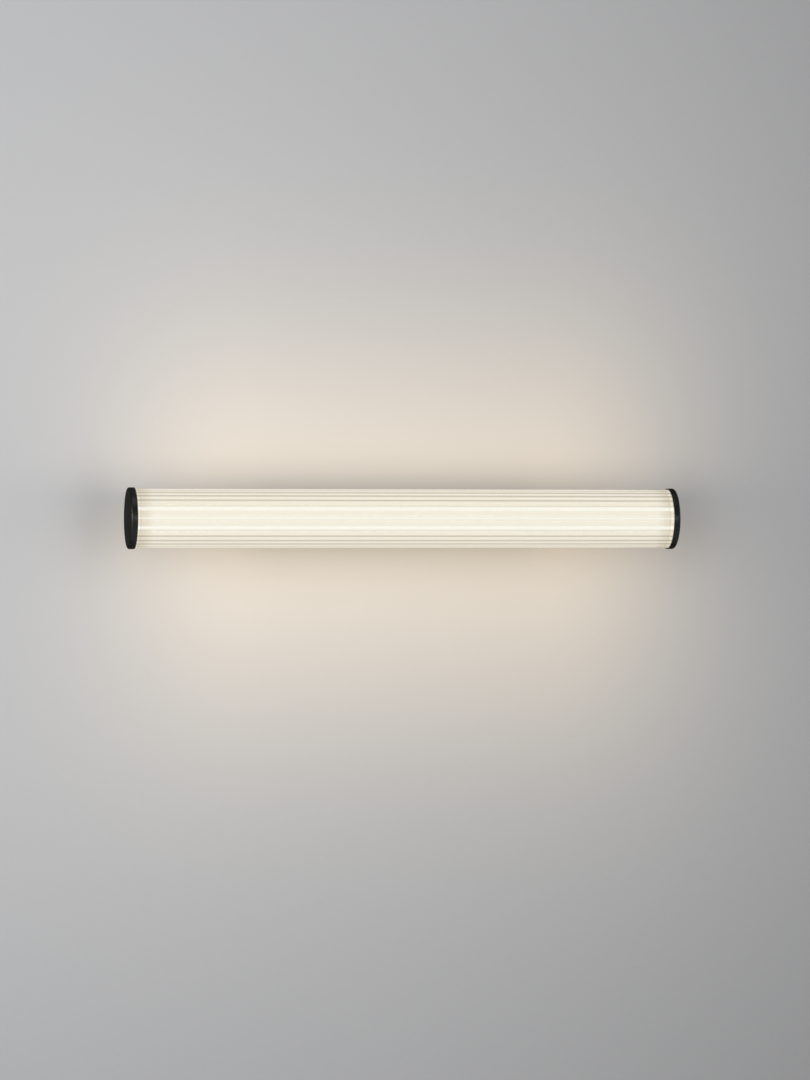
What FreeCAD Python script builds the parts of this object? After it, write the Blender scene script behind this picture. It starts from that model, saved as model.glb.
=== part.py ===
import FreeCAD, Part
import math
import os
from FreeCAD import Vector

# Tube wall light: a ribbed clear glass tube, closed by two slim round caps, held
# off the wall by two short stems on a shallow rear housing.
#
# Frame, in millimetres: +X along the tube, +Y into the wall, +Z up.  The origin is
# the middle of the wall bracket's back face, so the wall is the plane y = 0 and the
# tube looks out along -Y.  Inside the tube "forward" is the distance from the tube's
# axis towards the room and "up" is the distance above it.

# ---- Driving sizes -------------------------------------------------------------

# The whole light
overall_length = 600.0
tube_to_housing_gap = 11.3

# Ribbed glass tube: convex ribs outside, a plain bore inside
rib_count = 28
rib_crest_diameter = 63.4
rib_depth = 1.1
glass_web = 2.4
glass_stem_hole_radius = 7.5

# End caps: turned cups with a softened outer edge
cap_rim_wall = 1.0
cap_rim_depth = 7.2
cap_face_thickness = 3.0
cap_edge_radius = 1.2
cap_mouth_chamfer = 0.3
glass_to_cap_clearance = 0.3
cap_stud_diameter = 6.0
cap_stud_length = 8.0
cap_stud_seat_depth = 2.2

# End seals: silicone rings, one leg over the glass end and one inside its bore
seal_thickness = 1.5
seal_lip_thickness = 1.2
seal_lip_length = 4.0

# End plates, which close the spine and carry the glass, the diffuser and the caps
plate_to_cap_gap = 0.5
plate_flange_thickness = 4.0
plate_shoulder_length = 4.0
plate_screw_radius = 1.5
plate_screw_head_radius = 2.8
plate_screw_head_depth = 1.6
plate_screw_length = 14.0

# Diffuser tube, inside the glass with air between them
diffuser_to_glass_gap = 2.2
diffuser_wall = 2.0
diffuser_end_gap = 0.5
diffuser_stem_hole_radius = 6.0

# Spine: an extruded aluminium carrier with a round back and two sloping faces
spine_back_wall = 5.0
spine_wall = 3.0
spine_face_tilt = 50.0
spine_face_distance = 5.4
spine_face_start = 3.2
spine_face_width = 14.0
screw_port_wall = 2.0
screw_port_radius = 1.25

# LED boards, their chips and screws
board_width = 10.0
board_thickness = 1.2
board_end_margin = 6.0
chip_length = 3.5
chip_width = 2.8
chip_height = 0.7
chip_pitch = 12.0
board_screw_radius = 1.25
board_screw_depth = 2.4
board_screw_head_radius = 2.2
board_screw_head_height = 1.1
board_screw_places = (0.28, 0.86)

# Stems: hollow threaded tubes through the housing, the glass and the diffuser
stem_inset = 50.0
stem_radius = 5.0
stem_bore_radius = 3.2
stem_tip_in_chamber = 0.5
stem_tail = 2.0
stem_washer_radius = 8.5
stem_washer_thickness = 1.0
stem_nut_across_flats = 14.0
stem_nut_thickness = 4.0
bush_bore_radius = 2.4
bush_flange_thickness = 1.0
bush_sleeve_length = 6.0

# Spacers between housing and glass, with a silicone saddle under each
spacer_radius = 9.0
saddle_pad_thickness = 1.5
saddle_collar_clearance = 0.1

# Rear housing: a drawn shell open towards the wall
housing_length = 320.0
housing_height = 56.0
housing_front_to_wall = 28.0
housing_wall = 1.6
housing_corner_radius = 8.0
housing_edge_radius = 2.5
gasket_thickness = 2.0
gasket_to_bracket_gap = 0.4
gasket_side_width = 4.0

# Wall bracket: folded sheet steel with a tab at each end
bracket_thickness = 1.5
bracket_corner_radius = 4.0
bracket_bend_radius = 1.0
bracket_to_housing_gap = 0.3
tab_width = 24.0
tab_reach = 18.0
wall_slot_inset = 25.0
wall_slot_length = 14.0
wall_slot_radius = 2.5

# Housing screws, one through each end wall into a bracket tab
housing_screw_to_wall = 11.0
housing_screw_radius = 2.0
housing_screw_length = 9.0
housing_screw_head_radius = 3.8
housing_screw_head_height = 2.4
housing_screw_dome_radius = 1.7

# Supply cable bush in the bracket
cable_bush_to_terminal = 37.0
cable_bush_radius = 8.0
cable_bush_bore_radius = 5.0
cable_bush_flange_radius = 10.5
cable_bush_flange_thickness = 1.5

# Three-pole terminal block on the bracket
terminal_to_driver = 45.0
terminal_length = 18.0
terminal_height = 14.0
terminal_margin = 5.0
terminal_chamfer = 1.2
pole_pitch = 9.0
barrel_height = 6.5
barrel_radius = 2.5
barrel_bore_radius = 1.5
barrel_length = 14.0
clamp_screw_radius = 1.4
clamp_screw_spacing = 8.4
clamp_screw_recess = 1.5
clamp_access_radius = 1.8
block_screw_radius = 1.45
block_screw_head_radius = 2.6
block_screw_head_height = 1.8
block_screw_seat_depth = 3.2

# LED driver on the bracket
driver_to_stem = 22.0
driver_length = 88.0
driver_width = 30.0
driver_height = 19.0
driver_corner_radius = 2.5
driver_lid_thickness = 2.0
driver_lid_inset = 1.2
driver_foot_length = 6.0
driver_foot_width = 14.0
driver_foot_thickness = 2.5
driver_lead_hole_depth = 5.0
driver_lead_height = 9.5
driver_input_spacing = 10.0
driver_output_spacing = 8.0
driver_screw_radius = 1.45
driver_screw_head_radius = 2.6
driver_screw_head_height = 1.8

# Protective earth stud and its ring lug
earth_to_driver = 20.0
earth_to_bracket_edge = 9.6
earth_stud_radius = 2.0
earth_stud_reach = 8.0
lug_ring_radius = 4.0
lug_thickness = 0.8
lug_barrel_radius = 1.7
lug_barrel_length = 6.0
lug_neck_length = 2.0
earth_washer_radius = 4.2
earth_washer_thickness = 0.8
earth_nut_across_flats = 7.0
earth_nut_thickness = 3.2

# Internal leads
mains_lead_radius = 0.9
led_lead_radius = 0.85
led_lead_spacing = 2.1
lead_bend_radius = 5.0
lead_run_depth = 9.0
lead_hole_inset = 24.5
lead_straight_share = 0.3
solder_height = 0.3

# Running clearances
thread_clearance = 0.05
lead_clearance = 0.1
slip_clearance = 0.15
spine_clearance = 0.3

# ---- Places worked out from the driving sizes ----------------------------------

crest_radius = rib_crest_diameter / 2
groove_radius = crest_radius - rib_depth
glass_bore_radius = groove_radius - glass_web
cap_bore_radius = crest_radius + glass_to_cap_clearance
cap_radius = cap_bore_radius + cap_rim_wall
diffuser_radius = glass_bore_radius - diffuser_to_glass_gap
diffuser_bore_radius = diffuser_radius - diffuser_wall
spine_radius = diffuser_bore_radius - spine_clearance

axis_y = -(housing_front_to_wall + tube_to_housing_gap + crest_radius)
half_length = overall_length / 2
cap_inner_x = half_length - cap_face_thickness
glass_end_x = cap_inner_x - seal_thickness
plate_outer_x = cap_inner_x - plate_to_cap_gap
plate_step_x = plate_outer_x - plate_flange_thickness
spine_end_x = plate_step_x - plate_shoulder_length
diffuser_end_x = plate_step_x - diffuser_end_gap
plate_flange_radius = glass_bore_radius - seal_lip_thickness

stem_x = housing_length / 2 - stem_inset
housing_front_y = -housing_front_to_wall
housing_inner_y = housing_front_y + housing_wall
stem_washer_y = housing_inner_y + stem_washer_thickness
stem_nut_y = stem_washer_y + stem_nut_thickness
stem_rear_y = stem_nut_y + stem_tail
bracket_front_y = -bracket_thickness
bracket_length = housing_length - 2 * (housing_wall + bracket_to_housing_gap)
bracket_height = housing_height - 2 * (gasket_side_width + gasket_to_bracket_gap)
wall_slot_x = housing_length / 2 - wall_slot_inset

board_length = 2 * (spine_end_x - board_end_margin)
board_middle = spine_face_start + spine_face_width / 2
chip_count = 2 * int((board_length / 2 - chip_length) / chip_pitch)
lead_hole_x = spine_end_x - lead_hole_inset
barrel_y = bracket_front_y - barrel_height
driver_lead_y = bracket_front_y - driver_lead_height
driver_end_x = stem_x - driver_to_stem
driver_start_x = driver_end_x - driver_length
earth_x = driver_start_x - earth_to_driver
earth_z = earth_to_bracket_edge - bracket_height / 2
terminal_x = driver_start_x - terminal_to_driver
cable_bush_x = terminal_x - cable_bush_to_terminal


# ---- Small geometry helpers ----------------------------------------------------

def in_tube(x, forward, up):
    """A point given by its place along the tube, ahead of and above the tube's axis."""
    return Vector(x, axis_y - forward, up)


def on_face(distance, across, side=1):
    """(forward, up) of a point on a sloping spine face; side is 1 above, -1 below."""
    tilt = math.radians(spine_face_tilt)
    forward = distance * math.cos(tilt) - across * math.sin(tilt)
    up = distance * math.sin(tilt) + across * math.cos(tilt)
    return forward, side * up


def rod_x(radius, x0, x1, y=axis_y, z=0.0):
    """A round bar along X from x0 to x1."""
    return Part.makeCylinder(radius, x1 - x0, Vector(x0, y, z), Vector(1, 0, 0))


def rod_y(radius, y0, y1, x=0.0, z=0.0):
    """A round bar along Y from y0 to y1."""
    return Part.makeCylinder(radius, y1 - y0, Vector(x, y0, z), Vector(0, 1, 0))


def block(x0, x1, y0, y1, z0, z1):
    """A box between two corners."""
    return Part.makeBox(x1 - x0, y1 - y0, z1 - z0, Vector(x0, y0, z0))


def solid_between(section_points, x0, x1):
    """A closed outline of (forward, up) points, extruded along the tube."""
    corners = [in_tube(x0, forward, up) for forward, up in section_points]
    outline = Part.makePolygon(corners + [corners[0]])
    return Part.Face(outline).extrude(Vector(x1 - x0, 0, 0))


def rounded_slab(length, height, radius, y0, y1):
    """A slab from y0 to y1, centred on the origin, with round corners in X and Z."""
    slab = block(-length / 2, length / 2, y0, y1, -height / 2, height / 2)
    uprights = [e for e in slab.Edges if abs(e.tangentAt(e.FirstParameter).y) > 0.9]
    return slab.makeFillet(radius, uprights)


def hex_nut_y(across_flats, bore_radius, y0, y1, x, z):
    """A hexagon nut along Y, with a flat on top."""
    corner_radius = across_flats / math.sqrt(3)
    corners = []
    for k in range(7):
        angle = math.radians(60 * k)
        corners.append(Vector(x + corner_radius * math.cos(angle), y0,
                              z + corner_radius * math.sin(angle)))
    body = Part.Face(Part.makePolygon(corners)).extrude(Vector(0, y1 - y0, 0))
    return body.cut(rod_y(bore_radius, y0, y1, x, z))


def to_left(shape):
    """Turns a right-hand piece half round the Y axis to its place on the left."""
    turned = shape.copy()
    turned.rotate(Vector(0, 0, 0), Vector(0, 1, 0), 180)
    return turned


def bent_path(points, bend_radius):
    """Straight runs through the points, joined by tangent arcs of one radius."""
    edges = []
    start = points[0]
    for before, corner, after in zip(points, points[1:], points[2:]):
        arriving = (before - corner).normalize()
        leaving = (after - corner).normalize()
        half_angle = arriving.getAngle(leaving) / 2
        reach = bend_radius / math.tan(half_angle)
        bisector = (arriving + leaving).normalize()
        centre = corner + bisector * (bend_radius / math.sin(half_angle))
        arc_start = corner + arriving * reach
        arc_end = corner + leaving * reach
        arc_middle = centre - bisector * bend_radius
        edges.append(Part.LineSegment(start, arc_start).toShape())
        edges.append(Part.Arc(arc_start, arc_middle, arc_end).toShape())
        start = arc_end
    edges.append(Part.LineSegment(start, points[-1]).toShape())
    return Part.Wire(edges)


def lead(points, radius, bend_radius=lead_bend_radius):
    """An insulated lead: a round section swept along its bent path."""
    path = bent_path(points, bend_radius)
    direction = points[1] - points[0]
    section = Part.Wire([Part.makeCircle(radius, points[0], direction)])
    return path.makePipeShell([section], True, False)


# ---- The tube ------------------------------------------------------------------

def ribbed_bar(x0, x1):
    """The glass tube's outside as a solid bar: convex ribs that meet in sharp grooves."""
    step = 2 * math.pi / rib_count

    def place(radius, angle):
        return in_tube(x0, radius * math.cos(angle), radius * math.sin(angle))

    ribs = []
    for k in range(rib_count):
        start = place(groove_radius, k * step)
        crest = place(crest_radius, (k + 0.5) * step)
        end = place(groove_radius, (k + 1) * step)
        ribs.append(Part.Arc(start, crest, end).toShape())
    return Part.Face(Part.Wire(ribs)).extrude(Vector(x1 - x0, 0, 0))


def glass_tube():
    tube = ribbed_bar(-glass_end_x, glass_end_x)
    tube = tube.cut(rod_x(glass_bore_radius, -glass_end_x, glass_end_x))
    for x in (-stem_x, stem_x):
        tube = tube.cut(rod_y(glass_stem_hole_radius, axis_y, 0, x))
    return tube


def diffuser_tube():
    tube = rod_x(diffuser_radius, -diffuser_end_x, diffuser_end_x)
    tube = tube.cut(rod_x(diffuser_bore_radius, -diffuser_end_x, diffuser_end_x))
    for x in (-stem_x, stem_x):
        tube = tube.cut(rod_y(diffuser_stem_hole_radius, axis_y, 0, x))
    return tube


def end_cap():
    """Right-hand cap, turned from bar: soft outer edge, thin rim, blind stud thread."""
    rim_x = half_length - cap_rim_depth
    cup = rod_x(cap_radius, rim_x, half_length)
    outer_edge = [e for e in cup.Edges if abs(e.BoundBox.XMin - half_length) < 1e-6]
    cup = cup.makeFillet(cap_edge_radius, outer_edge[:1])
    cup = cup.cut(rod_x(cap_bore_radius, rim_x, cap_inner_x))
    mouth = [e for e in cup.Edges
             if abs(e.BoundBox.XMax - rim_x) < 1e-6 and e.BoundBox.ZMax > cap_bore_radius + 1e-3]
    cup = cup.makeChamfer(cap_mouth_chamfer, mouth)
    seat_x = cap_inner_x + cap_stud_seat_depth
    return cup.cut(rod_x(cap_stud_diameter / 2, cap_inner_x, seat_x))


def cap_stud():
    seat_x = cap_inner_x + cap_stud_seat_depth
    return rod_x(cap_stud_diameter / 2, seat_x - cap_stud_length, seat_x)


def end_seal():
    """Right-hand seal: a flange over the glass end and a lip inside the bore."""
    flange = rod_x(crest_radius, glass_end_x, cap_inner_x)
    lip = rod_x(glass_bore_radius, glass_end_x - seal_lip_length, glass_end_x)
    opening = rod_x(plate_flange_radius, glass_end_x - seal_lip_length, cap_inner_x)
    return flange.fuse(lip).cut(opening).removeSplitter()


def screw_port_place():
    """(forward, up) of the upper screw port, in the strip beside the chamber."""
    side_up = on_face(spine_face_distance, spine_face_start + spine_face_width)[1]
    side_front = on_face(spine_face_distance, spine_face_start + spine_face_width)[0]
    side_back = -math.sqrt(spine_radius ** 2 - side_up ** 2)
    return (side_front + side_back) / 2, side_up - screw_port_wall - screw_port_radius


def end_plate():
    """Right-hand plate: flange for the glass, shoulder for the diffuser, stud thread."""
    plate = rod_x(plate_flange_radius, plate_step_x, plate_outer_x)
    plate = plate.fuse(rod_x(diffuser_bore_radius - slip_clearance, spine_end_x, plate_step_x))
    plate = plate.cut(rod_x(cap_stud_diameter / 2 + thread_clearance, spine_end_x, plate_outer_x))
    forward, up = screw_port_place()
    for side in (-1, 1):
        y, z = axis_y - forward, side * up
        plate = plate.cut(rod_x(plate_screw_radius + slip_clearance, spine_end_x, plate_outer_x, y, z))
        plate = plate.cut(countersink(plate_outer_x, y, z))
    return plate.removeSplitter()


def countersink(x, y, z):
    """The cone under a countersunk head whose flat top lies at x."""
    return Part.makeCone(plate_screw_radius, plate_screw_head_radius, plate_screw_head_depth,
                         Vector(x - plate_screw_head_depth, y, z), Vector(1, 0, 0))


def end_plate_screws():
    """Countersunk screws, two through each end plate into the spine's ports."""
    forward, up = screw_port_place()
    right = []
    for side in (-1, 1):
        y, z = axis_y - forward, side * up
        tip_x = plate_outer_x - plate_screw_length
        in_plate = rod_x(plate_screw_radius, spine_end_x, plate_outer_x - plate_screw_head_depth, y, z)
        in_spine = rod_x(screw_port_radius, tip_x, spine_end_x, y, z)
        right.append(in_spine.fuse(in_plate).fuse(countersink(plate_outer_x, y, z)).removeSplitter())
    return right + [to_left(screw) for screw in right]


# ---- Spine and light source ----------------------------------------------------

def spine_outline():
    """(forward, up) corners of the spine ahead of its round back, top to bottom."""
    upper = [on_face(spine_face_distance, spine_face_start + spine_face_width),
             on_face(spine_face_distance, spine_face_start)]
    return upper + [(forward, -up) for forward, up in reversed(upper)]


def wire_chamber_outline():
    """(forward, up) corners of the hollow that the leads run in."""
    tilt = math.radians(spine_face_tilt)
    back = spine_back_wall - spine_radius
    side = spine_outline()[0][1] - 2 * (screw_port_wall + screw_port_radius)
    front = spine_outline()[1][0] - spine_wall
    roof = spine_face_distance - spine_wall
    roof_forward_at_side = (roof - side * math.sin(tilt)) / math.cos(tilt)
    roof_up_at_front = (roof - front * math.cos(tilt)) / math.sin(tilt)
    upper = [(back, side), (roof_forward_at_side, side), (front, roof_up_at_front)]
    return upper + [(forward, -up) for forward, up in reversed(upper)]


def led_spine():
    """Extruded carrier: round back, two sloping board faces, lead chamber, screw ports."""
    front_corners = spine_outline()
    side_up = front_corners[0][1]
    back_forward = -math.sqrt(spine_radius ** 2 - side_up ** 2)
    upper_back = in_tube(-spine_end_x, back_forward, side_up)
    lower_back = in_tube(-spine_end_x, back_forward, -side_up)
    corners = [upper_back] + [in_tube(-spine_end_x, f, u) for f, u in front_corners] + [lower_back]
    edges = [Part.LineSegment(a, b).toShape() for a, b in zip(corners, corners[1:])]
    edges.append(Part.Arc(lower_back, in_tube(-spine_end_x, -spine_radius, 0), upper_back).toShape())
    bar = Part.Face(Part.Wire(edges)).extrude(Vector(2 * spine_end_x, 0, 0))

    bar = bar.cut(solid_between(wire_chamber_outline(), -spine_end_x, spine_end_x))
    forward, up = screw_port_place()
    port_depth = plate_screw_length
    for side in (-1, 1):
        y, z = axis_y - forward, side * up
        bar = bar.cut(rod_x(screw_port_radius, spine_end_x - port_depth, spine_end_x, y, z))
        bar = bar.cut(rod_x(screw_port_radius, -spine_end_x, -spine_end_x + port_depth, y, z))
    chamber_back_y = axis_y + spine_radius - spine_back_wall
    for x in (-stem_x, stem_x):
        bar = bar.cut(rod_y(stem_radius + thread_clearance, chamber_back_y, 0, x))
    for hole in lead_holes() + board_screw_holes():
        bar = bar.cut(hole)
    return bar


def tilted(shape, side):
    """Turns a piece that faces straight forward onto the upper or lower sloping face."""
    turned = shape.copy()
    turned.rotate(in_tube(0, 0, 0), Vector(1, 0, 0), -side * spine_face_tilt)
    return turned


def facing_forward(x0, x1, distance0, distance1, across, width, side):
    """A block on a sloping face before it is tilted: across is measured from the ridge."""
    middle = side * across
    return block(x0, x1, axis_y - distance1, axis_y - distance0, middle - width / 2, middle + width / 2)


def led_board(side):
    base = spine_face_distance
    board = facing_forward(-board_length / 2, board_length / 2, base, base + board_thickness,
                           board_middle, board_width, side)
    board = tilted(board, side)
    for hole in lead_holes() + board_screw_holes():
        board = board.cut(hole)
    return board


def led_chips(side):
    """One row of chips, centred on the board."""
    chips = []
    base = spine_face_distance + board_thickness
    for k in range(chip_count):
        x = (k - (chip_count - 1) / 2) * chip_pitch
        chip = facing_forward(x - chip_length / 2, x + chip_length / 2, base, base + chip_height,
                              board_middle, chip_width, side)
        chips.append(tilted(chip, side))
    return chips


def board_screw_places_x():
    """Screws sit halfway between two chips, on both sides of the middle."""
    right = [chip_pitch * round(share * board_length / 2 / chip_pitch) for share in board_screw_places]
    return [-x for x in right] + right


def board_screw_rod(radius, distance0, distance1, x, side):
    rod = rod_y(radius, axis_y - distance1, axis_y - distance0, x, side * board_middle)
    return tilted(rod, side)


def board_screw_holes():
    holes = []
    for side in (-1, 1):
        for x in board_screw_places_x():
            holes.append(board_screw_rod(board_screw_radius + thread_clearance,
                                         spine_face_distance - board_screw_depth,
                                         spine_face_distance + board_thickness, x, side))
    return holes


def led_board_screws():
    screws = []
    top = spine_face_distance + board_thickness
    for side in (-1, 1):
        for x in board_screw_places_x():
            tip = spine_face_distance - board_screw_depth
            shank = board_screw_rod(board_screw_radius, tip, top, x, side)
            head = board_screw_rod(board_screw_head_radius, top, top + board_screw_head_height, x, side)
            screws.append(shank.fuse(head))
    return screws


# ---- Leads inside the spine ----------------------------------------------------

def lead_hole_across():
    """Where the LED leads cross a sloping face, measured from the ridge."""
    tilt = math.radians(spine_face_tilt)
    return lead_run_depth * math.sin(tilt) + led_lead_spacing / 2 * math.cos(tilt)


def lead_holes():
    """Holes through both sloping walls and boards, at each end of the spine."""
    holes = []
    radius = led_lead_radius + lead_clearance
    for side in (-1, 1):
        for x in (-lead_hole_x, lead_hole_x):
            rod = rod_y(radius, axis_y - spine_face_distance - board_thickness,
                        axis_y - spine_face_distance + spine_wall + radius, x, side * lead_hole_across())
            holes.append(tilted(rod, side))
    return holes


def solder_point(x, side):
    """The end of a lead, just proud of the board."""
    reach = spine_face_distance + board_thickness + solder_height
    forward, up = on_face(reach, lead_hole_across(), side)
    return in_tube(x, forward, up)


def led_lead(side):
    """From the driver through the right stem and the chamber to one board."""
    offset = side * led_lead_spacing / 2
    output_z = side * driver_output_spacing / 2
    straight = lead_straight_share * (stem_x - driver_end_x)
    points = [
        Vector(driver_end_x - driver_lead_hole_depth, driver_lead_y, output_z),
        Vector(driver_end_x + straight, driver_lead_y, output_z),
        Vector(stem_x - straight, driver_lead_y, offset),
        Vector(stem_x, driver_lead_y, offset),
        Vector(stem_x, axis_y + lead_run_depth, offset),
        Vector(lead_hole_x, axis_y + lead_run_depth, offset),
        solder_point(lead_hole_x, side),
    ]
    return lead(points, led_lead_radius)


def board_link_lead():
    """Joins the two boards in series at their left ends, through the chamber."""
    crossing = lead_hole_across() / math.sin(math.radians(spine_face_tilt))
    points = [
        solder_point(-lead_hole_x, 1),
        in_tube(-lead_hole_x, -crossing, 0),
        solder_point(-lead_hole_x, -1),
    ]
    return lead(points, led_lead_radius)


# ---- Stems, spacers and saddles ------------------------------------------------

def stem():
    """Right-hand stem, from behind its nut to just inside the spine's chamber."""
    front_y = axis_y + spine_radius - spine_back_wall - stem_tip_in_chamber
    tube = rod_y(stem_radius, front_y, stem_rear_y, stem_x)
    return tube.cut(rod_y(stem_bore_radius, front_y, stem_rear_y, stem_x))


def spacer():
    """Right-hand spacer: a collar whose front end is hollowed to sit on the saddle."""
    collar = rod_y(spacer_radius, axis_y, housing_front_y, stem_x)
    collar = collar.cut(rod_x(crest_radius + saddle_pad_thickness, 0, half_length))
    return collar.cut(rod_y(stem_radius + thread_clearance, axis_y, housing_front_y, stem_x))


def saddle_seal():
    """Right-hand saddle: a pad moulded to the ribs, with a collar in the glass hole."""
    start_x = stem_x - 2 * spacer_radius
    end_x = stem_x + 2 * spacer_radius
    envelope = rod_x(crest_radius + saddle_pad_thickness, start_x, end_x)
    pad = rod_y(spacer_radius, axis_y, 0, stem_x).common(envelope)
    pad = pad.cut(ribbed_bar(start_x, end_x))
    collar_radius = glass_stem_hole_radius - saddle_collar_clearance
    collar = rod_y(collar_radius, axis_y, 0, stem_x).common(envelope)
    collar = collar.cut(rod_x(glass_bore_radius, 0, half_length))
    seal = pad.fuse(collar).cut(rod_y(stem_radius + thread_clearance, axis_y, 0, stem_x))
    return seal.removeSplitter()


def stem_washer():
    disc = rod_y(stem_washer_radius, housing_inner_y, stem_washer_y, stem_x)
    return disc.cut(rod_y(stem_radius + thread_clearance, housing_inner_y, stem_washer_y, stem_x))


def stem_nut():
    return hex_nut_y(stem_nut_across_flats, stem_radius + thread_clearance,
                     stem_washer_y, stem_nut_y, stem_x, 0)


def wire_bush():
    """Plastic bush that guards the leads where they enter the right stem."""
    flange = rod_y(stem_radius, stem_rear_y, stem_rear_y + bush_flange_thickness, stem_x)
    sleeve = rod_y(stem_bore_radius, stem_rear_y - bush_sleeve_length, stem_rear_y, stem_x)
    bore = rod_y(bush_bore_radius, stem_rear_y - bush_sleeve_length,
                 stem_rear_y + bush_flange_thickness, stem_x)
    return flange.fuse(sleeve).cut(bore)


# ---- Housing and bracket -------------------------------------------------------

def rear_housing():
    """Drawn shell: rounded front, open back, stem holes in front, screw holes in the ends."""
    outer = rounded_slab(housing_length, housing_height, housing_corner_radius,
                         housing_front_y, -gasket_thickness)
    front_edges = [e for e in outer.Edges if abs(e.BoundBox.YMax - housing_front_y) < 1e-6]
    outer = outer.makeFillet(housing_edge_radius, front_edges)
    inner = rounded_slab(housing_length - 2 * housing_wall, housing_height - 2 * housing_wall,
                         housing_corner_radius - housing_wall, housing_inner_y, -gasket_thickness)
    inner_edges = [e for e in inner.Edges if abs(e.BoundBox.YMax - housing_inner_y) < 1e-6]
    inner = inner.makeFillet(housing_edge_radius - housing_wall, inner_edges)
    shell = outer.cut(inner)
    for x in (-stem_x, stem_x):
        shell = shell.cut(rod_y(stem_radius + thread_clearance, housing_front_y, housing_inner_y, x))
    screw_hole = rod_x(housing_screw_radius + slip_clearance, -housing_length, housing_length,
                       -housing_screw_to_wall)
    return shell.cut(screw_hole)


def wall_gasket():
    """Foam frame that closes the housing's rim against the wall."""
    frame = rounded_slab(housing_length, housing_height, housing_corner_radius, -gasket_thickness, 0)
    window = rounded_slab(bracket_length + 2 * gasket_to_bracket_gap,
                          housing_height - 2 * gasket_side_width,
                          housing_corner_radius - housing_wall, -gasket_thickness, 0)
    return frame.cut(window)


def bracket_tab():
    """Right-hand tab with its bend, as a folded strip."""
    tip_x = bracket_length / 2
    outer_bend = bracket_bend_radius + bracket_thickness
    bend_x = tip_x - outer_bend
    diagonal = math.sqrt(0.5)

    def at(x, y):
        return Vector(x, y, -tab_width / 2)

    outer_middle = at(bend_x + outer_bend * diagonal, -outer_bend + outer_bend * diagonal)
    inner_middle = at(bend_x + bracket_bend_radius * diagonal, -outer_bend + bracket_bend_radius * diagonal)
    inner_x = tip_x - bracket_thickness
    edges = [
        Part.Arc(at(bend_x, 0), outer_middle, at(tip_x, -outer_bend)).toShape(),
        Part.LineSegment(at(tip_x, -outer_bend), at(tip_x, -tab_reach)).toShape(),
        Part.LineSegment(at(tip_x, -tab_reach), at(inner_x, -tab_reach)).toShape(),
        Part.LineSegment(at(inner_x, -tab_reach), at(inner_x, -outer_bend)).toShape(),
        Part.Arc(at(inner_x, -outer_bend), inner_middle, at(bend_x, -bracket_thickness)).toShape(),
        Part.LineSegment(at(bend_x, -bracket_thickness), at(bend_x, 0)).toShape(),
    ]
    tab = Part.Face(Part.Wire(edges)).extrude(Vector(0, 0, tab_width))
    thread_radius = housing_screw_radius + thread_clearance
    return tab.cut(rod_x(thread_radius, inner_x, tip_x, -housing_screw_to_wall))


def wall_slot(x):
    """A round-ended slot through the bracket, along X."""
    half_straight = wall_slot_length / 2 - wall_slot_radius
    slot = block(x - half_straight, x + half_straight, -bracket_thickness, 0,
                 -wall_slot_radius, wall_slot_radius)
    for end in (-half_straight, half_straight):
        slot = slot.fuse(rod_y(wall_slot_radius, -bracket_thickness, 0, x + end))
    return slot


def block_screw_places():
    """(x, z) of the two screws that hold the terminal block, between its poles."""
    return [(terminal_x, -pole_pitch / 2), (terminal_x, pole_pitch / 2)]


def driver_screw_places():
    """(x, z) of the two screws that hold the driver's feet."""
    half_foot = driver_foot_length / 2
    return [(driver_start_x - half_foot, 0), (driver_end_x + half_foot, 0)]


def wall_bracket():
    plate_length = bracket_length - 2 * (bracket_bend_radius + bracket_thickness)
    plate = rounded_slab(plate_length, bracket_height, bracket_corner_radius, -bracket_thickness, 0)
    plate = plate.fuse([bracket_tab(), to_left(bracket_tab())]).removeSplitter()
    for x in (-wall_slot_x, wall_slot_x):
        plate = plate.cut(wall_slot(x))
    plate = plate.cut(rod_y(cable_bush_radius, -bracket_thickness, 0, cable_bush_x))
    plate = plate.cut(rod_y(earth_stud_radius, -bracket_thickness, 0, earth_x, earth_z))
    for x, z in block_screw_places():
        plate = plate.cut(rod_y(block_screw_radius + thread_clearance, -bracket_thickness, 0, x, z))
    for x, z in driver_screw_places():
        plate = plate.cut(rod_y(driver_screw_radius + thread_clearance, -bracket_thickness, 0, x, z))
    return plate


def housing_screw():
    """Right-hand screw: a domed head outside, its shank through the tab."""
    head_x = housing_length / 2
    y = -housing_screw_to_wall
    shank = rod_x(housing_screw_radius, head_x - housing_screw_length, head_x, y)
    head = rod_x(housing_screw_head_radius, head_x, head_x + housing_screw_head_height, y)
    rim = [e for e in head.Edges if abs(e.BoundBox.XMin - head_x - housing_screw_head_height) < 1e-6]
    head = head.makeFillet(housing_screw_dome_radius, rim[:1])
    return shank.fuse(head)


def cable_bush():
    """Snap-in bush that guards the supply cable at the bracket's edge."""
    front_y = bracket_front_y - cable_bush_flange_thickness
    bush = rod_y(cable_bush_radius, bracket_front_y, 0, cable_bush_x)
    bush = bush.fuse(rod_y(cable_bush_flange_radius, front_y, bracket_front_y, cable_bush_x))
    return bush.cut(rod_y(cable_bush_bore_radius, front_y, 0, cable_bush_x)).removeSplitter()


# ---- Mains connection ----------------------------------------------------------

def pole_places():
    return [-pole_pitch, 0.0, pole_pitch]


def clamp_screw_places_x():
    return [terminal_x - clamp_screw_spacing / 2, terminal_x + clamp_screw_spacing / 2]


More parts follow.
